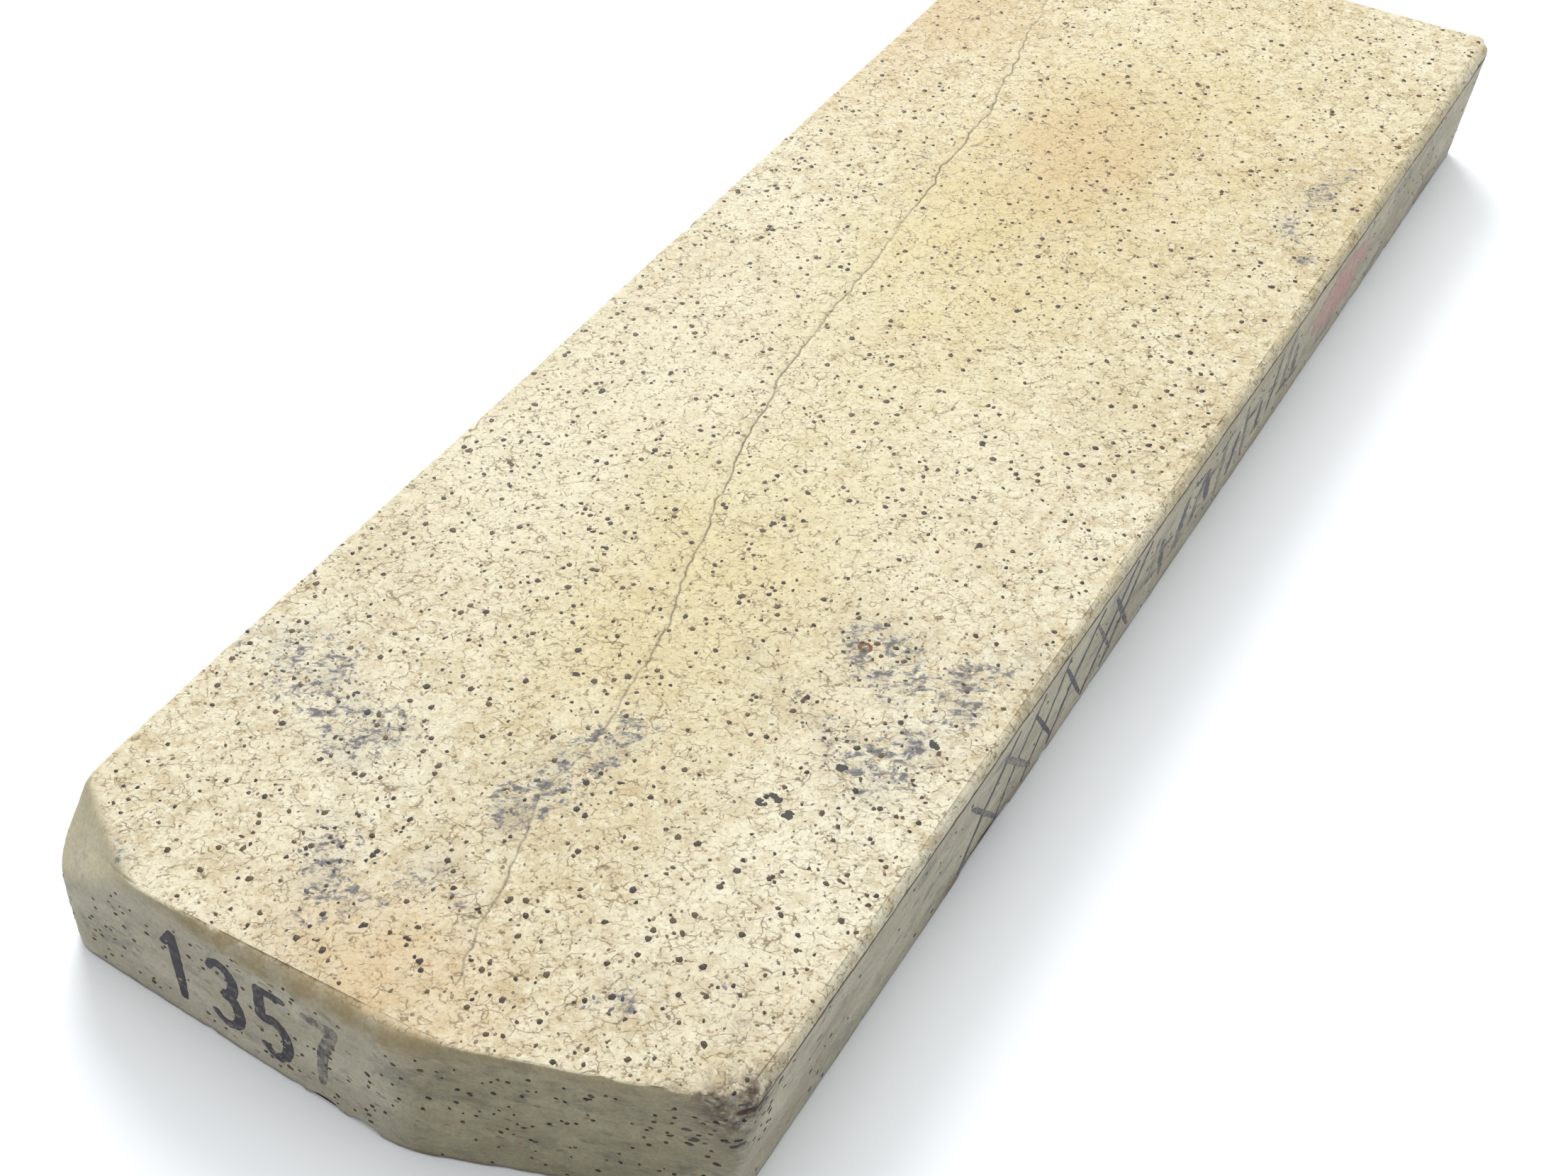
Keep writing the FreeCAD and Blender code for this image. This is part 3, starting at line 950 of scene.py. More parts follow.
@dataclass
class Whetstone:
    """The stone as a finished piece, with everything that its material reads kept on the mesh."""

    low: np.ndarray
    high: np.ndarray
    trails: Sequence[Trail] = (
        Trail((0.16, -0.60), (-0.04, -0.75), 6, 0.06, 0.08, 0.88),
        Trail((-0.92, -0.70), (-0.15, -0.76), 8, 0.14, 0.10, 0.64),
        Trail((0.30, -0.50), (0.92, -0.30), 8, 0.12, 0.09, 0.62),
        Trail((0.60, -0.56), (0.88, -0.44), 5, 0.08, 0.08, 0.80),
        Trail((-0.50, -0.88), (0.15, -0.86), 6, 0.12, 0.09, 0.58),
        Trail((0.50, -0.85), (0.92, -0.79), 4, 0.07, 0.07, 0.60),
        Trail((-0.80, -0.955), (-0.70, -0.972), 2, 0.02, 0.05, 0.70),
        Trail((0.92, 0.40), (0.72, 0.46), 3, 0.04, 0.05, 0.80),
        Trail((0.74, 0.50), (0.88, 0.58), 4, 0.05, 0.06, 0.85),
        Trail((-0.55, 0.34), (-0.50, 0.36), 1, 0.02, 0.07, 0.8),
    )
    yellows: Sequence[Cloud] = (
        Cloud(-0.02, -0.42, 0.40, 0.9, 1.6), Cloud(-0.22, 0.21, 0.44, 0.8, 2.0),
        Cloud(0.28, 0.10, 0.58, 0.4, 2.0), Cloud(0.15, 0.67, 0.85, 0.5, 1.2),
        Cloud(-0.38, -0.30, 0.28, 0.5))
    peaches: Sequence[Cloud] = (
        Cloud(-0.03, 0.45, 0.32, 0.9, 1.3), Cloud(0.03, -0.93, 0.33, 1.1, 0.6),
        Cloud(-0.88, 0.65, 0.28, 0.6, 2.0))
    pales: Sequence[Cloud] = (
        Cloud(-0.66, -0.15, 0.50, 0.9, 2.0), Cloud(-0.77, -0.40, 0.36, 0.8, 1.6),
        Cloud(0.50, -0.20, 0.50, 0.5, 2.0), Cloud(-0.45, -0.80, 0.32, 0.6),
        Cloud(0.70, -0.72, 0.32, 0.6, 1.5))

    def build(self) -> bpy.types.Object:
        """Builds and dresses the stone.

        Returns:
            The finished piece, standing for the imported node.
        """
        slab = Slab(self.low, self.high)
        slab.assemble()
        slab.wear_facet()
        slab.break_corner()
        slab.knock_edges(random.Random(7))
        finish = StoneFinish(slab.thickness, slab.half_width)
        trial = new_piece("trial", slab.points, slab.faces, finish.material())
        slab.roughen(vertex_normals(trial))
        material = trial.data.materials[0]
        bpy.data.objects.remove(trial)
        stone = new_piece("whetstone_body", slab.points, slab.faces, material)
        self.keep_shares(stone, slab)
        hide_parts(NODE)
        hand_over(stone)
        return stone

    def keep_shares(self, stone: bpy.types.Object, slab: Slab) -> None:
        """Keeps on the mesh where each tint, stain and scatter belongs, and where the near right end facet
        gets its painted shade.

        Args:
            stone: the finished piece.
            slab: the block that it was made from.
        """
        points, outward, mesh = slab.points, vertex_normals(stone), stone.data
        x, y, z = points.T
        upward = outward[:, 2]
        top = ease(0.45, 0.9, upward)
        level = ease(0.9975, 0.9995, upward) * (1 - slab.vein_bank)
        rng = random.Random(12)
        stains = [cloud for trail in self.trails for cloud in trail.clouds(rng)]
        for name, clouds in (("stain", stains), ("yellow", self.yellows), ("peach", self.peaches),
                             ("pale", self.pales)):
            laid = sum(cloud.over(points, slab.half_width, slab.half_length) for cloud in clouds)
            store(mesh, name, np.clip(laid, 0, 1.15) * top)
            if name == "stain":
                store(mesh, "stain_spread", np.clip(laid - 0.12, 0, 0.8) * level)
        near = slab.from_near(y, 16, 9) * (1 - ease(0.88, 0.98, upward))
        strip = near * ease(-24, -10, x) * ease(14, 4, x) * slab.from_top(z, 3.2, 1.6)
        store(mesh, "ochre", np.clip(strip + 0.4 * near * slab.from_top(z, 2, 0.8), 0, 1))
        store(mesh, "olive", slab.facet_share * ease(1.0, 3.0, z))
        store(mesh, "smoke", slab.smoke_share)
        flake = np.exp(-((y + slab.half_length - slab.side_flake_along) / 9) ** 2) * ease(3.2, 1.0, z)
        store(mesh, "skin", np.clip(flake * slab.from_right(x, 5, 2), 0, 1) * (1 - top))
        store(mesh, "vein", slab.vein_share)
        # Painted shade mask: the near end's walls beyond the break that do not face the right side, so that
        # this facet is darkened.
        past_break = ease(slab.corners[1].foot[0] - 3, slab.corners[1].foot[0] + 3, x)
        store(mesh, "dusk", past_break * near * (1 - ease(0.6, 0.9, outward[:, 0])))
        store(mesh, "wall", 1 - ease(0.72, 0.93, upward))
        crowd = 1 + 0.55 * ripple(points, (0.05, 0.05, 0.05), 41.0)
        crowd = crowd + 0.5 * ripple(points, (0.2, 0.2, 0.2), 43.0)
        nearer = 0.62 + 0.38 * ease(60, -70, y)
        store(mesh, "top_spread", np.clip(crowd * nearer, 0.08, 1.6) * level)
        wall = ease(0.55, 0.25, np.abs(upward)) * ease(0.8, 1.6, z) * slab.from_top(z, 1.6, 2.6)
        plain = (1 - 0.8 * slab.from_right(x, 2, 1)) * (1 - 0.7 * slab.facet_share)
        store(mesh, "wall_spread", np.clip(crowd, 0.2, 1.6) * wall * plain)
        corner = np.array([*slab.corners[2].foot, slab.thickness * 0.75])
        gap = np.sqrt((((points - corner) / (9, 9, 6)) ** 2).sum(axis=1))
        store(mesh, "corner_spread", ease(1.1, 0.3, gap) * wall)


# ---------------------------------------------------------------- grains


@dataclass(frozen=True)
class Scatter:
    """One sowing of small grains over the stone.

    A grain reaches flat to each side of its middle and stands proud of the face by proud.  It is larger
    than its radius by up to a share of range, drawn out by stretch, and turned in the face by up to turn,
    in radians.
    """

    name: str
    spread: str
    per_square_cm: float
    radius: float
    range: float
    stretch: float
    flat: float
    proud: float
    turn: float
    seed: int


class GrainSower:
    """Sows irregular grains into the stone's faces with Geometry Nodes."""

    SIZES = ("Density", "Apart", "Radius", "Range", "Stretch", "Flat", "Proud", "Turn")
    INPUTS = {"Stone": "NodeSocketObject", "Spread": "NodeSocketString",
              **dict.fromkeys(SIZES, "NodeSocketFloat"),
              "Seed": "NodeSocketInt", "Finish": "NodeSocketMaterial"}
    LAPPED = 0.02

    def __init__(self, stone: bpy.types.Object, full: float) -> None:
        """Builds the tree once for every sowing.

        Args:
            stone: the stone that the grains lie in.
            full: the stone's full height in millimetres; grains are lapped off a little below it.
        """
        self.stone = stone
        self.lapped = full - self.LAPPED
        self.tree = bpy.data.node_groups.new("sow_grains", "GeometryNodeTree")
        self.tree.interface.new_socket("Geometry", in_out="OUTPUT", socket_type="NodeSocketGeometry")
        self.sockets = {}
        for name, kind in self.INPUTS.items():
            socket = self.tree.interface.new_socket(name, in_out="INPUT", socket_type=kind)
            self.sockets[name] = socket.identifier
        self.wire()

    def add(self, kind: str, links: Optional[dict] = None, **settings: Any) -> bpy.types.Node:
        """Adds a node, sets its properties, and joins or sets its inputs."""
        node = self.tree.nodes.new(kind)
        for name, value in settings.items():
            setattr(node, name, value)
        for key, value in (links or {}).items():
            if isinstance(value, bpy.types.NodeSocket):
                self.tree.links.new(value, node.inputs[key])
            else:
                node.inputs[key].default_value = value
        return node

    def math(self, operation: str, first: Any, second: Any) -> Socket:
        """One sum of two numbers."""
        return self.add("ShaderNodeMath", {0: first, 1: second}, operation=operation).outputs[0]

    def vector(self, operation: str, first: Any, second: Any) -> Socket:
        """One sum of two vectors."""
        return self.add("ShaderNodeVectorMath", {0: first, 1: second}, operation=operation).outputs[0]

    def chance(self, low: float, high: float, seed: Socket, salt: int) -> Socket:
        """A random number for each grain, its seed moved by a salt."""
        salted = self.math("ADD", seed, salt)
        node = self.add("FunctionNodeRandomValue", {"Seed": salted}, data_type="FLOAT")
        node.inputs[2].default_value = low
        node.inputs[3].default_value = high
        return node.outputs[1]

    def wire(self) -> None:
        """Joins the nodes: points on the faces, a bent pebble at each, all made real."""
        given = self.add("NodeGroupInput").outputs
        seed = given["Seed"]
        rock = self.add("GeometryNodeObjectInfo", {"Object": given["Stone"]}).outputs["Geometry"]
        share = self.add("GeometryNodeInputNamedAttribute", {"Name": given["Spread"]}, data_type="FLOAT")
        sown = self.add("GeometryNodeDistributePointsOnFaces",
                        {"Mesh": rock, "Distance Min": given["Apart"], "Density Max": given["Density"],
                         "Density Factor": share.outputs["Attribute"], "Seed": seed},
                        distribute_method="POISSON")
        normal = sown.outputs["Normal"]
        level = self.vector("CROSS_PRODUCT", (0.0, 0.0, 1.0), normal)
        stood = self.add("FunctionNodeAlignRotationToVector", {"Vector": normal}, axis="Z")
        laid = self.add("FunctionNodeAlignRotationToVector",
                        {"Rotation": stood.outputs[0], "Vector": level}, axis="X", pivot_axis="Z")
        angle = self.math("MULTIPLY", self.chance(-1.0, 1.0, seed, 1), given["Turn"])
        spin = self.add("ShaderNodeCombineXYZ", {"Z": angle})
        twist = self.add("FunctionNodeEulerToRotation", {0: spin.outputs[0]})
        turned = self.add("FunctionNodeRotateRotation", {0: laid.outputs[0], 1: twist.outputs[0]},
                          rotation_space="LOCAL")
        luck = self.math("POWER", self.chance(0.0, 1.0, seed, 2), 2.2)
        grown = self.math("ADD", 1.0, self.math("MULTIPLY", luck, given["Range"]))
        radius = self.math("MULTIPLY", given["Radius"], grown)
        long = self.math("MULTIPLY", self.chance(0.8, 1.3, seed, 3), given["Stretch"])
        size = self.add("ShaderNodeCombineXYZ", {"X": self.math("MULTIPLY", radius, long), "Y": radius,
                                                 "Z": given["Flat"]})
        pebble = self.add("GeometryNodeMeshIcoSphere", {"Radius": 1.0, "Subdivisions": 1})
        grains = self.add("GeometryNodeInstanceOnPoints",
                          {"Points": sown.outputs["Points"], "Instance": pebble.outputs["Mesh"],
                           "Rotation": turned.outputs[0], "Scale": size.outputs[0]})
        sink = self.add("ShaderNodeCombineXYZ", {"Z": self.math("SUBTRACT", given["Proud"], given["Flat"])})
        sunk = self.add("GeometryNodeTranslateInstances",
                        {"Instances": grains.outputs[0], "Translation": sink.outputs[0], "Local Space": True})
        toned = self.add("GeometryNodeStoreNamedAttribute",
                         {"Geometry": sunk.outputs[0], "Name": "grain_tone",
                          "Value": self.chance(0, 1, seed, 4)}, data_type="FLOAT", domain="INSTANCE")
        real = self.add("GeometryNodeRealizeInstances", {"Geometry": toned.outputs[0]})
        bumpy = self.add("ShaderNodeTexNoise", {"Scale": 2600.0, "Detail": 0.0})
        centred = self.vector("SUBTRACT", bumpy.outputs["Color"], (0.5, 0.5, 0.5))
        in_face = self.vector("SUBTRACT", centred, self.vector("PROJECT", centred, normal))
        reach = self.math("MULTIPLY", given["Radius"], 1.5)
        push = self.add("ShaderNodeVectorMath", {0: in_face, "Scale": reach}, operation="SCALE")
        bent = self.add("GeometryNodeSetPosition",
                        {"Geometry": real.outputs[0], "Offset": push.outputs[0]})
        dressed = self.add("GeometryNodeSetMaterial",
                           {"Geometry": bent.outputs[0], "Material": given["Finish"]})
        self.add("NodeGroupOutput", {0: dressed.outputs[0]})

    def sow(self, scatter: Scatter, finish: GrainFinish) -> bpy.types.Object:
        """Runs the tree for one sowing and turns it into a plain mesh.

        Args:
            scatter: what is sown, and how thickly.
            finish: what the grains look like.

        Returns:
            The finished piece.
        """
        carrier = bpy.data.objects.new(scatter.name, bpy.data.meshes.new(scatter.name))
        bpy.context.scene.collection.objects.link(carrier)
        modifier = carrier.modifiers.new("sow", "NODES")
        modifier.node_group = self.tree
        wanted = {"Stone": self.stone, "Spread": scatter.spread,
                  "Density": scatter.per_square_cm * 1e4, "Apart": scatter.radius * 1.1 * MM,
                  "Radius": scatter.radius * MM, "Range": scatter.range, "Stretch": scatter.stretch,
                  "Flat": scatter.flat * MM, "Proud": scatter.proud * MM, "Turn": scatter.turn,
                  "Seed": scatter.seed, "Finish": finish.material()}
        for name, value in wanted.items():
            modifier[self.sockets[name]] = value
        grown = carrier.evaluated_get(bpy.context.evaluated_depsgraph_get())
        mesh = bpy.data.meshes.new_from_object(grown)
        carrier.modifiers.clear()
        carrier.data = mesh
        for vertex in mesh.vertices:
            vertex.co.z = min(vertex.co.z, self.lapped * MM)
        mesh.shade_flat()
        hand_over(carrier)
        return carrier


# ---------------------------------------------------------------- ink


@dataclass(frozen=True)
class Stroke:
    """One pull of a brush or pen through some places, with its own width and fade."""

    places: Sequence[Point]
    width: float
    fade: float = 0.0
    taper: float = 0.35

    def reach(self, grid: np.ndarray) -> np.ndarray:
        """How far inside the stroke each place of a grid is; below nought outside it."""
        best = np.full(len(grid), -9.0)
        places = np.array(self.places, float)
        run = walked(places)
        run = run / run[-1]
        for start, end, first, last in zip(places, places[1:], run, run[1:]):
            along = end - start
            share = np.clip(((grid - start) @ along) / (along @ along), 0, 1)
            gap = np.linalg.norm(grid - start - share[:, None] * along, axis=1)
            travelled = first + share * (last - first)
            half = self.width / 2 * (1 - self.taper * (2 * travelled - 1) ** 2)
            best = np.maximum(best, half - gap)
        return best


def arc(centre: Point, across: float, up: float, start: float, end: float, count: int = 9) -> list[Point]:
    """Places along part of an ellipse, from one angle in degrees to another."""
    turns = np.radians(np.linspace(start, end, count))
    return [(centre[0] + across * math.cos(turn), centre[1] + up * math.sin(turn)) for turn in turns]


class Wall(Enum):
    """A face of the stone that carries ink."""

    NEAR = "near end"
    RIGHT = "right side"
    TOP = "honing face"

    def ray(self, u: float, v: float, start: float) -> tuple[Point3, Point3]:
        """Where a ray starts, out from the face, and which way it goes to find a place on it."""
        return {Wall.NEAR: ((u, -start, v), (0, 1, 0)), Wall.RIGHT: ((start, u, v), (-1, 0, 0)),
                Wall.TOP: ((u, v, start), (0, 0, -1))}[self]


@dataclass
class InkFilm:
    """A thin film of ink that follows a wall of the stone."""

    name: str
    wall: Wall
    strokes: Sequence[Stroke]
    cell: float
    ragged: float
    finish: InkFinish
    slot: Slot
    seed: float
    above: float = 0.03
    below: float = 0.05

    def field(self) -> tuple[np.ndarray, np.ndarray, np.ndarray]:
        """Reads the strokes on a grid.

        Returns:
            The grid's columns, its rows, and how far inside the ink each place is.
        """
        places = np.vstack([stroke.places for stroke in self.strokes])
        margin = max(stroke.width for stroke in self.strokes) + 2 * self.cell
        low, high = places.min(axis=0) - margin, places.max(axis=0) + margin
        columns, rows = (np.arange(low[axis], high[axis], self.cell) for axis in range(2))
        grid = np.array([(u, v) for u in columns for v in rows])
        inked = np.max([stroke.reach(grid) for stroke in self.strokes], axis=0)
        seat = flat_points(grid)
        inked = inked + self.ragged * ripple(seat, (1.6, 1.6, 1), self.seed)
        inked = inked + 0.5 * self.ragged * ripple(seat, (5.0, 5.0, 1), self.seed + 4)
        inked = inked.reshape(len(columns), len(rows))
        inked[[0, -1], :] = inked[:, [0, -1]] = -1.0
        return columns, rows, inked

    def contour(self) -> tuple[list[Point], list[Face]]:
        """Cuts the inked cells of the grid along the edge of the ink.

        Returns:
            Flat places and the faces between them, counter-clockwise.
        """
        columns, rows, inked = self.field()
        places: list[Point] = []
        known: dict[tuple, int] = {}
        faces: list[Face] = []

        def vertex(key: tuple, place: Point) -> int:
            """Numbers a place once."""
            if key not in known:
                known[key] = len(places)
                places.append(place)
            return known[key]

        cells = np.maximum.reduce([inked[:-1, :-1], inked[1:, :-1], inked[1:, 1:], inked[:-1, 1:]])
        for i, j in zip(*np.nonzero(cells > 0)):
            ring = [(i, j), (i + 1, j), (i + 1, j + 1), (i, j + 1)]
            face = []
            for here, there in zip(ring, ring[1:] + ring[:1]):
                one, two = inked[here], inked[there]
                at, to = ((columns[spot[0]], rows[spot[1]]) for spot in (here, there))
                if one > 0:
                    face.append(vertex(here, at))
                if (one > 0) != (two > 0):
                    share = min(max(one / (one - two), 0.12), 0.88)
                    middle = (at[0] + (to[0] - at[0]) * share, at[1] + (to[1] - at[1]) * share)
                    face.append(vertex(tuple(sorted((here, there))), middle))
            if len(face) > 2:
                faces.append(tuple(face))
        return places, faces

    def lay(self, tree: BVHTree, start: float) -> bpy.types.Object:
        """Lays the film on the stone.

        Args:
            tree: the stone's faces, in metres.
            start: how far out the rays begin, in millimetres.

        Returns:
            The finished piece.
        """
        places, faces = self.contour()
        outer, inner = [], []
        for u, v in places:
            origin, way = self.wall.ray(u, v, start)
            hit, normal, _, _ = tree.ray_cast(Vector(origin) * MM, Vector(way))
            outer.append(np.array(hit) / MM + np.array(normal) * self.above)
            inner.append(np.array(hit) / MM - np.array(normal) * self.below)
        count = len(places)
        edges = {}
        for face in faces:
            for one, two in zip(face, face[1:] + face[:1]):
                edges[(one, two)] = edges.get((one, two), 0) + 1
        shell = list(faces) + [tuple(number + count for number in face[::-1]) for face in faces]
        shell += [(two, one, one + count, two + count) for one, two in edges if (two, one) not in edges]
        piece = new_piece(self.name, np.array(outer + inner), shell, self.finish.material())
        spots = [np.array([place]) for place in places]
        fades = [max(self.strokes, key=lambda stroke: stroke.reach(spot)[0]).fade for spot in spots]
        store(piece.data, "fade", np.array(fades * 2))
        hand_over(piece)
        return piece


@dataclass
class InkMarks:
    """Everything written on the stone: an end number, brushed crossing strokes and a seal blotch."""

    thickness: float
    half_width: float
    half_length: float
    figure_start: float = -19.6
    figure_gap: float = 5.9
    figure_wide: float = 1.35
    net_start: float = -52.0
    net_gap: float = 6.6
    smudge_start: float = -8.0
    smudge_gap: float = 3.9
    seal_start: float = 41.0
    seal_long: float = 17.0
    blot_spots: Sequence[Point3] = ((0.55, -0.615, 0.8), (0.575, -0.605, 1.0), (0.63, -0.615, 1.1),
                                    (0.67, -0.545, 0.9), (0.84, -0.475, 0.8))
    ring_spot: Point = (0.51, -0.405)

    def numerals(self) -> list[Stroke]:
        """Four plain hand-drawn numerals along the near end."""
        low, high, wide = self.thickness * 0.20, self.thickness * 0.74, self.figure_wide
        tall = high - low
        middle = (low + high) / 2
        one, three, five, seven = (self.figure_start + step * self.figure_gap for step in range(4))
        drop = -0.25
        return [
            Stroke([(one - 1.0, high - 1.6), (one + 0.2, high), (one + 0.3, low)], wide, 0.0),
            Stroke(arc((three, high - tall * 0.25), 1.5, tall * 0.25, 150, -75)
                   + arc((three, low + tall * 0.27), 1.75, tall * 0.27, 75, -145), wide, 0.1),
            Stroke([(five + 1.6, high + drop), (five - 1.2, high + drop), (five - 1.3, middle + 0.4)]
                   + arc((five, low + tall * 0.28 + drop), 1.7, tall * 0.30, 115, -140), wide, 0.15),
            Stroke([(seven - 1.7, high - 0.4), (seven + 1.6, high - 0.4), (seven + 0.1, middle),
                    (seven - 0.4, low)], wide, 0.5),
        ]

    def lattice(self) -> list[Stroke]:
        """Slender strokes that cross like a net, near the middle of the side."""
        rng = random.Random(11)
        low, high = 1.6, self.thickness - 3.0
        strokes = []
        for step in range(6):
            at = self.net_start + self.net_gap * step + rng.uniform(-1.5, 1.5)
            rising = [(at, low), (at + rng.uniform(3.0, 5.0), 0.55 * high),
                      (at + rng.uniform(7.5, 10.5), high)]
            strokes.append(Stroke(rising, rng.uniform(0.6, 1.0), rng.uniform(0, 0.3)))
            falling = [(at + rng.uniform(6.5, 8.5), low + 0.8), (at + rng.uniform(0.0, 2.5), high - 1.5)]
            strokes.append(Stroke(falling, rng.uniform(0.5, 0.8), rng.uniform(0.1, 0.5)))
        return strokes

    def smudges(self) -> list[Stroke]:
        """Broad smudged strokes further along the side."""
        rng = random.Random(19)
        strokes = []
        for step in range(12):
            at = self.smudge_start + self.smudge_gap * step + rng.uniform(-0.6, 0.6)
            low, high = rng.uniform(2.0, 6.0), rng.uniform(8.5, self.thickness - 3.0)
            upright = [(at, low), (at + rng.uniform(-2.2, 2.2), high)]
            strokes.append(Stroke(upright, rng.uniform(0.9, 2.0), rng.uniform(0.1, 0.6)))
            level = rng.uniform(3.0, 12.0)
            lying = [(at - 1.4, level), (at + 1.8, level + rng.uniform(-1, 1))]
            strokes.append(Stroke(lying, 0.7, rng.uniform(0.2, 0.7)))
        return strokes

    def blots(self) -> list[Stroke]:
        """Small black blots on the honing face, towards the right side."""
        blots = []
        rng = random.Random(3)
        for across, along, wide in self.blot_spots:
            x, y = across * self.half_width, along * self.half_length
            for _ in range(3):
                ends = [(x + rng.uniform(-0.5, 0.5), y + rng.uniform(-0.4, 0.4)) for _ in range(2)]
                blots.append(Stroke(ends, wide * rng.uniform(0.45, 0.9)))
        return blots

    def ring(self) -> list[Stroke]:
        """One small brown ring on the honing face."""
        middle = (self.ring_spot[0] * self.half_width, self.ring_spot[1] * self.half_length)
        return [Stroke(arc(middle, 0.62, 0.5, 0, 350), 0.42, 0.0, 0.2)]

    def seal(self) -> list[Stroke]:
        """A faded blotch of seal paste with no sign in it."""
        rng = random.Random(5)
        pulls = []
        for _ in range(9):
            ends = [(start + rng.uniform(0, self.seal_long), rng.uniform(3.5, 11.5))
                    for start in (self.seal_start, self.seal_start + 1)]
            pulls.append(Stroke(ends, rng.uniform(1.6, 3.4), rng.uniform(0.3, 0.8)))
        return pulls

    def lay(self, stone: bpy.types.Object) -> None:
        """Lays every mark on the stone."""
        tree = BVHTree.FromPolygons([vertex.co for vertex in stone.data.vertices],
                                    [face.vertices for face in stone.data.polygons])
        blue_black = tone(0.15, 0.15, 0.225)
        grey_blue = tone(0.23, 0.24, 0.32)
        pink = tone(0.78, 0.52, 0.545)
        films = (
            InkFilm("end_number", Wall.NEAR, self.numerals(), 0.11, 0.10,
                    InkFinish("number_ink", blue_black), Slot.INK, 3.0),
            InkFilm("brushed_net", Wall.RIGHT, self.lattice(), 0.15, 0.09,
                    InkFinish("net_ink", grey_blue, cover=0.85), Slot.INK, 9.0),
            InkFilm("brushed_smudges", Wall.RIGHT, self.smudges(), 0.17, 0.35,
                    InkFinish("smudge_ink", grey_blue, cover=0.75, size=1.6), Slot.INK, 15.0),
            InkFilm("seal_blotch", Wall.RIGHT, self.seal(), 0.28, 0.55,
                    InkFinish("seal_paste", pink, cover=0.62, size=2.2), Slot.SEAL, 21.0),
            InkFilm("black_blots", Wall.TOP, self.blots(), 0.11, 0.30,
                    InkFinish("blot_ink", tone(0.15, 0.155, 0.17)), Slot.INK, 27.0, above=0.008),
            InkFilm("brown_ring", Wall.TOP, self.ring(), 0.08, 0.08,
                    InkFinish("ring_rust", tone(0.40, 0.25, 0.09)), Slot.GRAIN, 33.0, above=0.008),
        )
        for film in films:
            film.lay(tree, self.half_length + 20.0)


# ---------------------------------------------------------------- the studio


@dataclass(frozen=True)
class Lamp:
    """A round soft light: where it hangs and how wide it is, in metres, and its power in watts."""

    name: str
    place: tuple[float, float, float]
    wide: float
    power: float


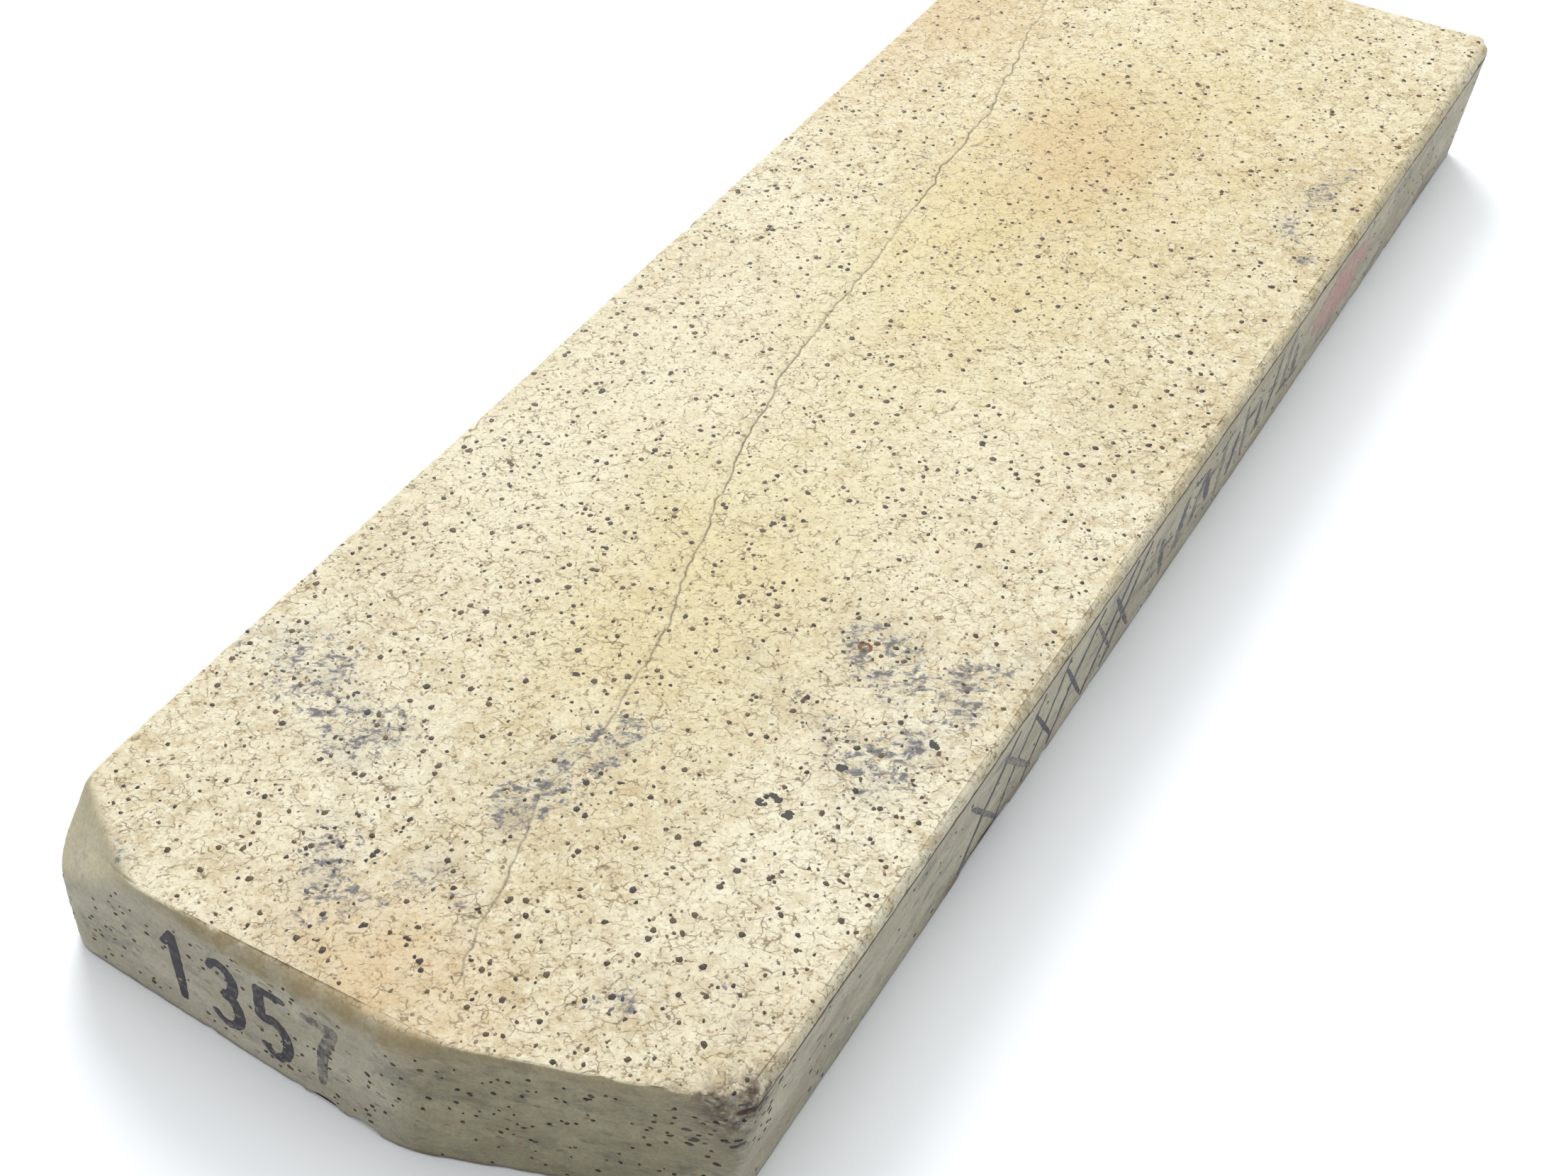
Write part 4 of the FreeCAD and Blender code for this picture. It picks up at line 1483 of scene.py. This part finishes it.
@dataclass(frozen=True)
class Studio:
    """A pale dished floor, a broad overhead light, a lower one from the far left, and the camera."""

    thickness: float
    half_width: float
    half_length: float
    floor_flat: float = 1.1
    floor_wide: float = 2.4
    wall_high: float = 1.4
    lamps: Sequence[Lamp] = (Lamp("overhead", (-0.05, 0.15, 1.0), 1.9, 17.5),
                             Lamp("window", (-0.80, 0.90, 0.85), 0.80, 19.5))
    fill: float = 0.10
    lens: float = 44.76
    sensor: float = 36.0
    eye_right: float = 44.4
    eye_before: float = 53.4
    eye_thicknesses: float = 9.91
    look_across: float = 0.20
    look_along: float = -0.38

    def floor(self) -> None:
        """Lays a plain floor that curves up into a wall all round, out of the way."""
        rings = [(0.0005, 0.0), (self.floor_flat, 0.0)]
        bend = self.floor_wide - self.floor_flat
        rings += [(self.floor_flat + bend * math.sin(turn), self.wall_high * (1 - math.cos(turn)))
                  for turn in np.linspace(0.1, math.pi / 2, 12)]
        sides = 72
        turns = [math.tau * side / sides for side in range(sides)]
        points = [(radius * math.cos(turn) / MM, radius * math.sin(turn) / MM, height / MM)
                  for radius, height in rings for turn in turns]
        faces = [tuple(range(sides))]
        for inner in range(0, (len(rings) - 1) * sides, sides):
            outer = inner + sides
            faces += [(inner + side, outer + side, outer + (side + 1) % sides, inner + (side + 1) % sides)
                      for side in range(sides)]
        graph = Graph("pale_floor")
        even = graph.clouds(60.0, 2.0)
        paint = graph.blend(even, tone(0.915, 0.93, 0.945), tone(0.93, 0.94, 0.95))
        floor = new_piece("floor", np.array(points), faces, graph.finish(paint, 0.9, 0.1))

    def light(self) -> None:
        """Hangs the soft lamps, turned to the stone, and sets a low even fill."""
        for lamp in self.lamps:
            data = bpy.data.lights.new(lamp.name, "AREA")
            data.shape = "DISK"
            data.size = lamp.wide
            data.energy = lamp.power
            data.color = (1.0, 0.995, 0.985)
            hung = bpy.data.objects.new(lamp.name, data)
            hung.location = lamp.place
            hung.rotation_euler = (-Vector(lamp.place)).to_track_quat("-Z", "Y").to_euler()
            bpy.context.scene.collection.objects.link(hung)
        world = bpy.data.worlds.new("fill")
        world.use_nodes = True
        world.node_tree.nodes["Background"].inputs["Color"].default_value = (0.93, 0.97, 1.0, 1.0)
        world.node_tree.nodes["Background"].inputs["Strength"].default_value = self.fill
        bpy.context.scene.world = world

    def camera(self) -> None:
        """Stands the camera over the near right corner, looking down the stone."""
        data = bpy.data.cameras.new("camera")
        data.lens = self.lens
        data.sensor_width = self.sensor
        data.clip_start = 0.01
        eye = Vector((self.half_width + self.eye_right, -self.half_length - self.eye_before,
                      self.thickness * self.eye_thicknesses)) * MM
        target = Vector((self.half_width * self.look_across, self.half_length * self.look_along,
                         self.thickness)) * MM
        camera = bpy.data.objects.new("camera", data)
        camera.location = eye
        camera.rotation_euler = (target - eye).to_track_quat("-Z", "Y").to_euler()
        bpy.context.scene.collection.objects.link(camera)
        bpy.context.scene.camera = camera

    def build(self) -> None:
        """Sets the whole studio up."""
        self.camera()
        self.light()
        self.floor()
        bpy.context.scene.view_settings.view_transform = "Standard"


def main() -> None:
    """Builds the stone, its grains, its ink and the studio, and notes the sizes."""
    logging.basicConfig(level=logging.INFO, format="%(name)s %(message)s")
    low, high = (np.array(corner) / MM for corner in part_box(NODE))
    wide, long = (high[:2] - low[:2]) / 2
    Studio(high[2], wide, long).build()
    stone = Whetstone(low, high).build()
    sower = GrainSower(stone, high[2])
    brown = GrainFinish("brown_grain")
    faint = GrainFinish("faint_grain", tone(0.36, 0.31, 0.24), tone(0.60, 0.52, 0.40))
    slate = GrainFinish("slate_fleck", tone(0.20, 0.21, 0.23), tone(0.46, 0.47, 0.49))
    black = GrainFinish("black_inclusion", tone(0.13, 0.11, 0.10), tone(0.33, 0.29, 0.26))
    rusty = GrainFinish("rust_trail", tone(0.50, 0.42, 0.32), tone(0.66, 0.60, 0.50))
    any_way = 3.14
    for scatter, finish in (
            (Scatter("top_grains", "top_spread", per_square_cm=16.0, radius=0.21, range=0.85, stretch=1.0,
                     flat=0.07, proud=0.018, turn=any_way, seed=3), brown),
            (Scatter("top_specks", "top_spread", per_square_cm=34.0, radius=0.11, range=0.8, stretch=1.3,
                     flat=0.04, proud=0.012, turn=any_way, seed=11), faint),
            (Scatter("stain_flecks", "stain_spread", per_square_cm=42.0, radius=0.10, range=1.2,
                     stretch=1.6, flat=0.05, proud=0.014, turn=any_way, seed=23), slate),
            (Scatter("corner_inclusions", "corner_spread", per_square_cm=45.0, radius=0.14, range=1.2,
                     stretch=1.9, flat=0.06, proud=0.015, turn=0.5, seed=47), black),
            (Scatter("wall_grains", "wall_spread", per_square_cm=21.0, radius=0.14, range=0.9,
                     stretch=1.25, flat=0.06, proud=0.018, turn=0.5, seed=31), brown),
            (Scatter("rust_trails", "wall_spread", per_square_cm=15.0, radius=0.14, range=0.8,
                     stretch=2.2, flat=0.04, proud=0.010, turn=0.35, seed=57), rusty)):
        sower.sow(scatter, finish)
    InkMarks(high[2], wide, long).lay(stone)


if __name__ == "__main__":
    main()
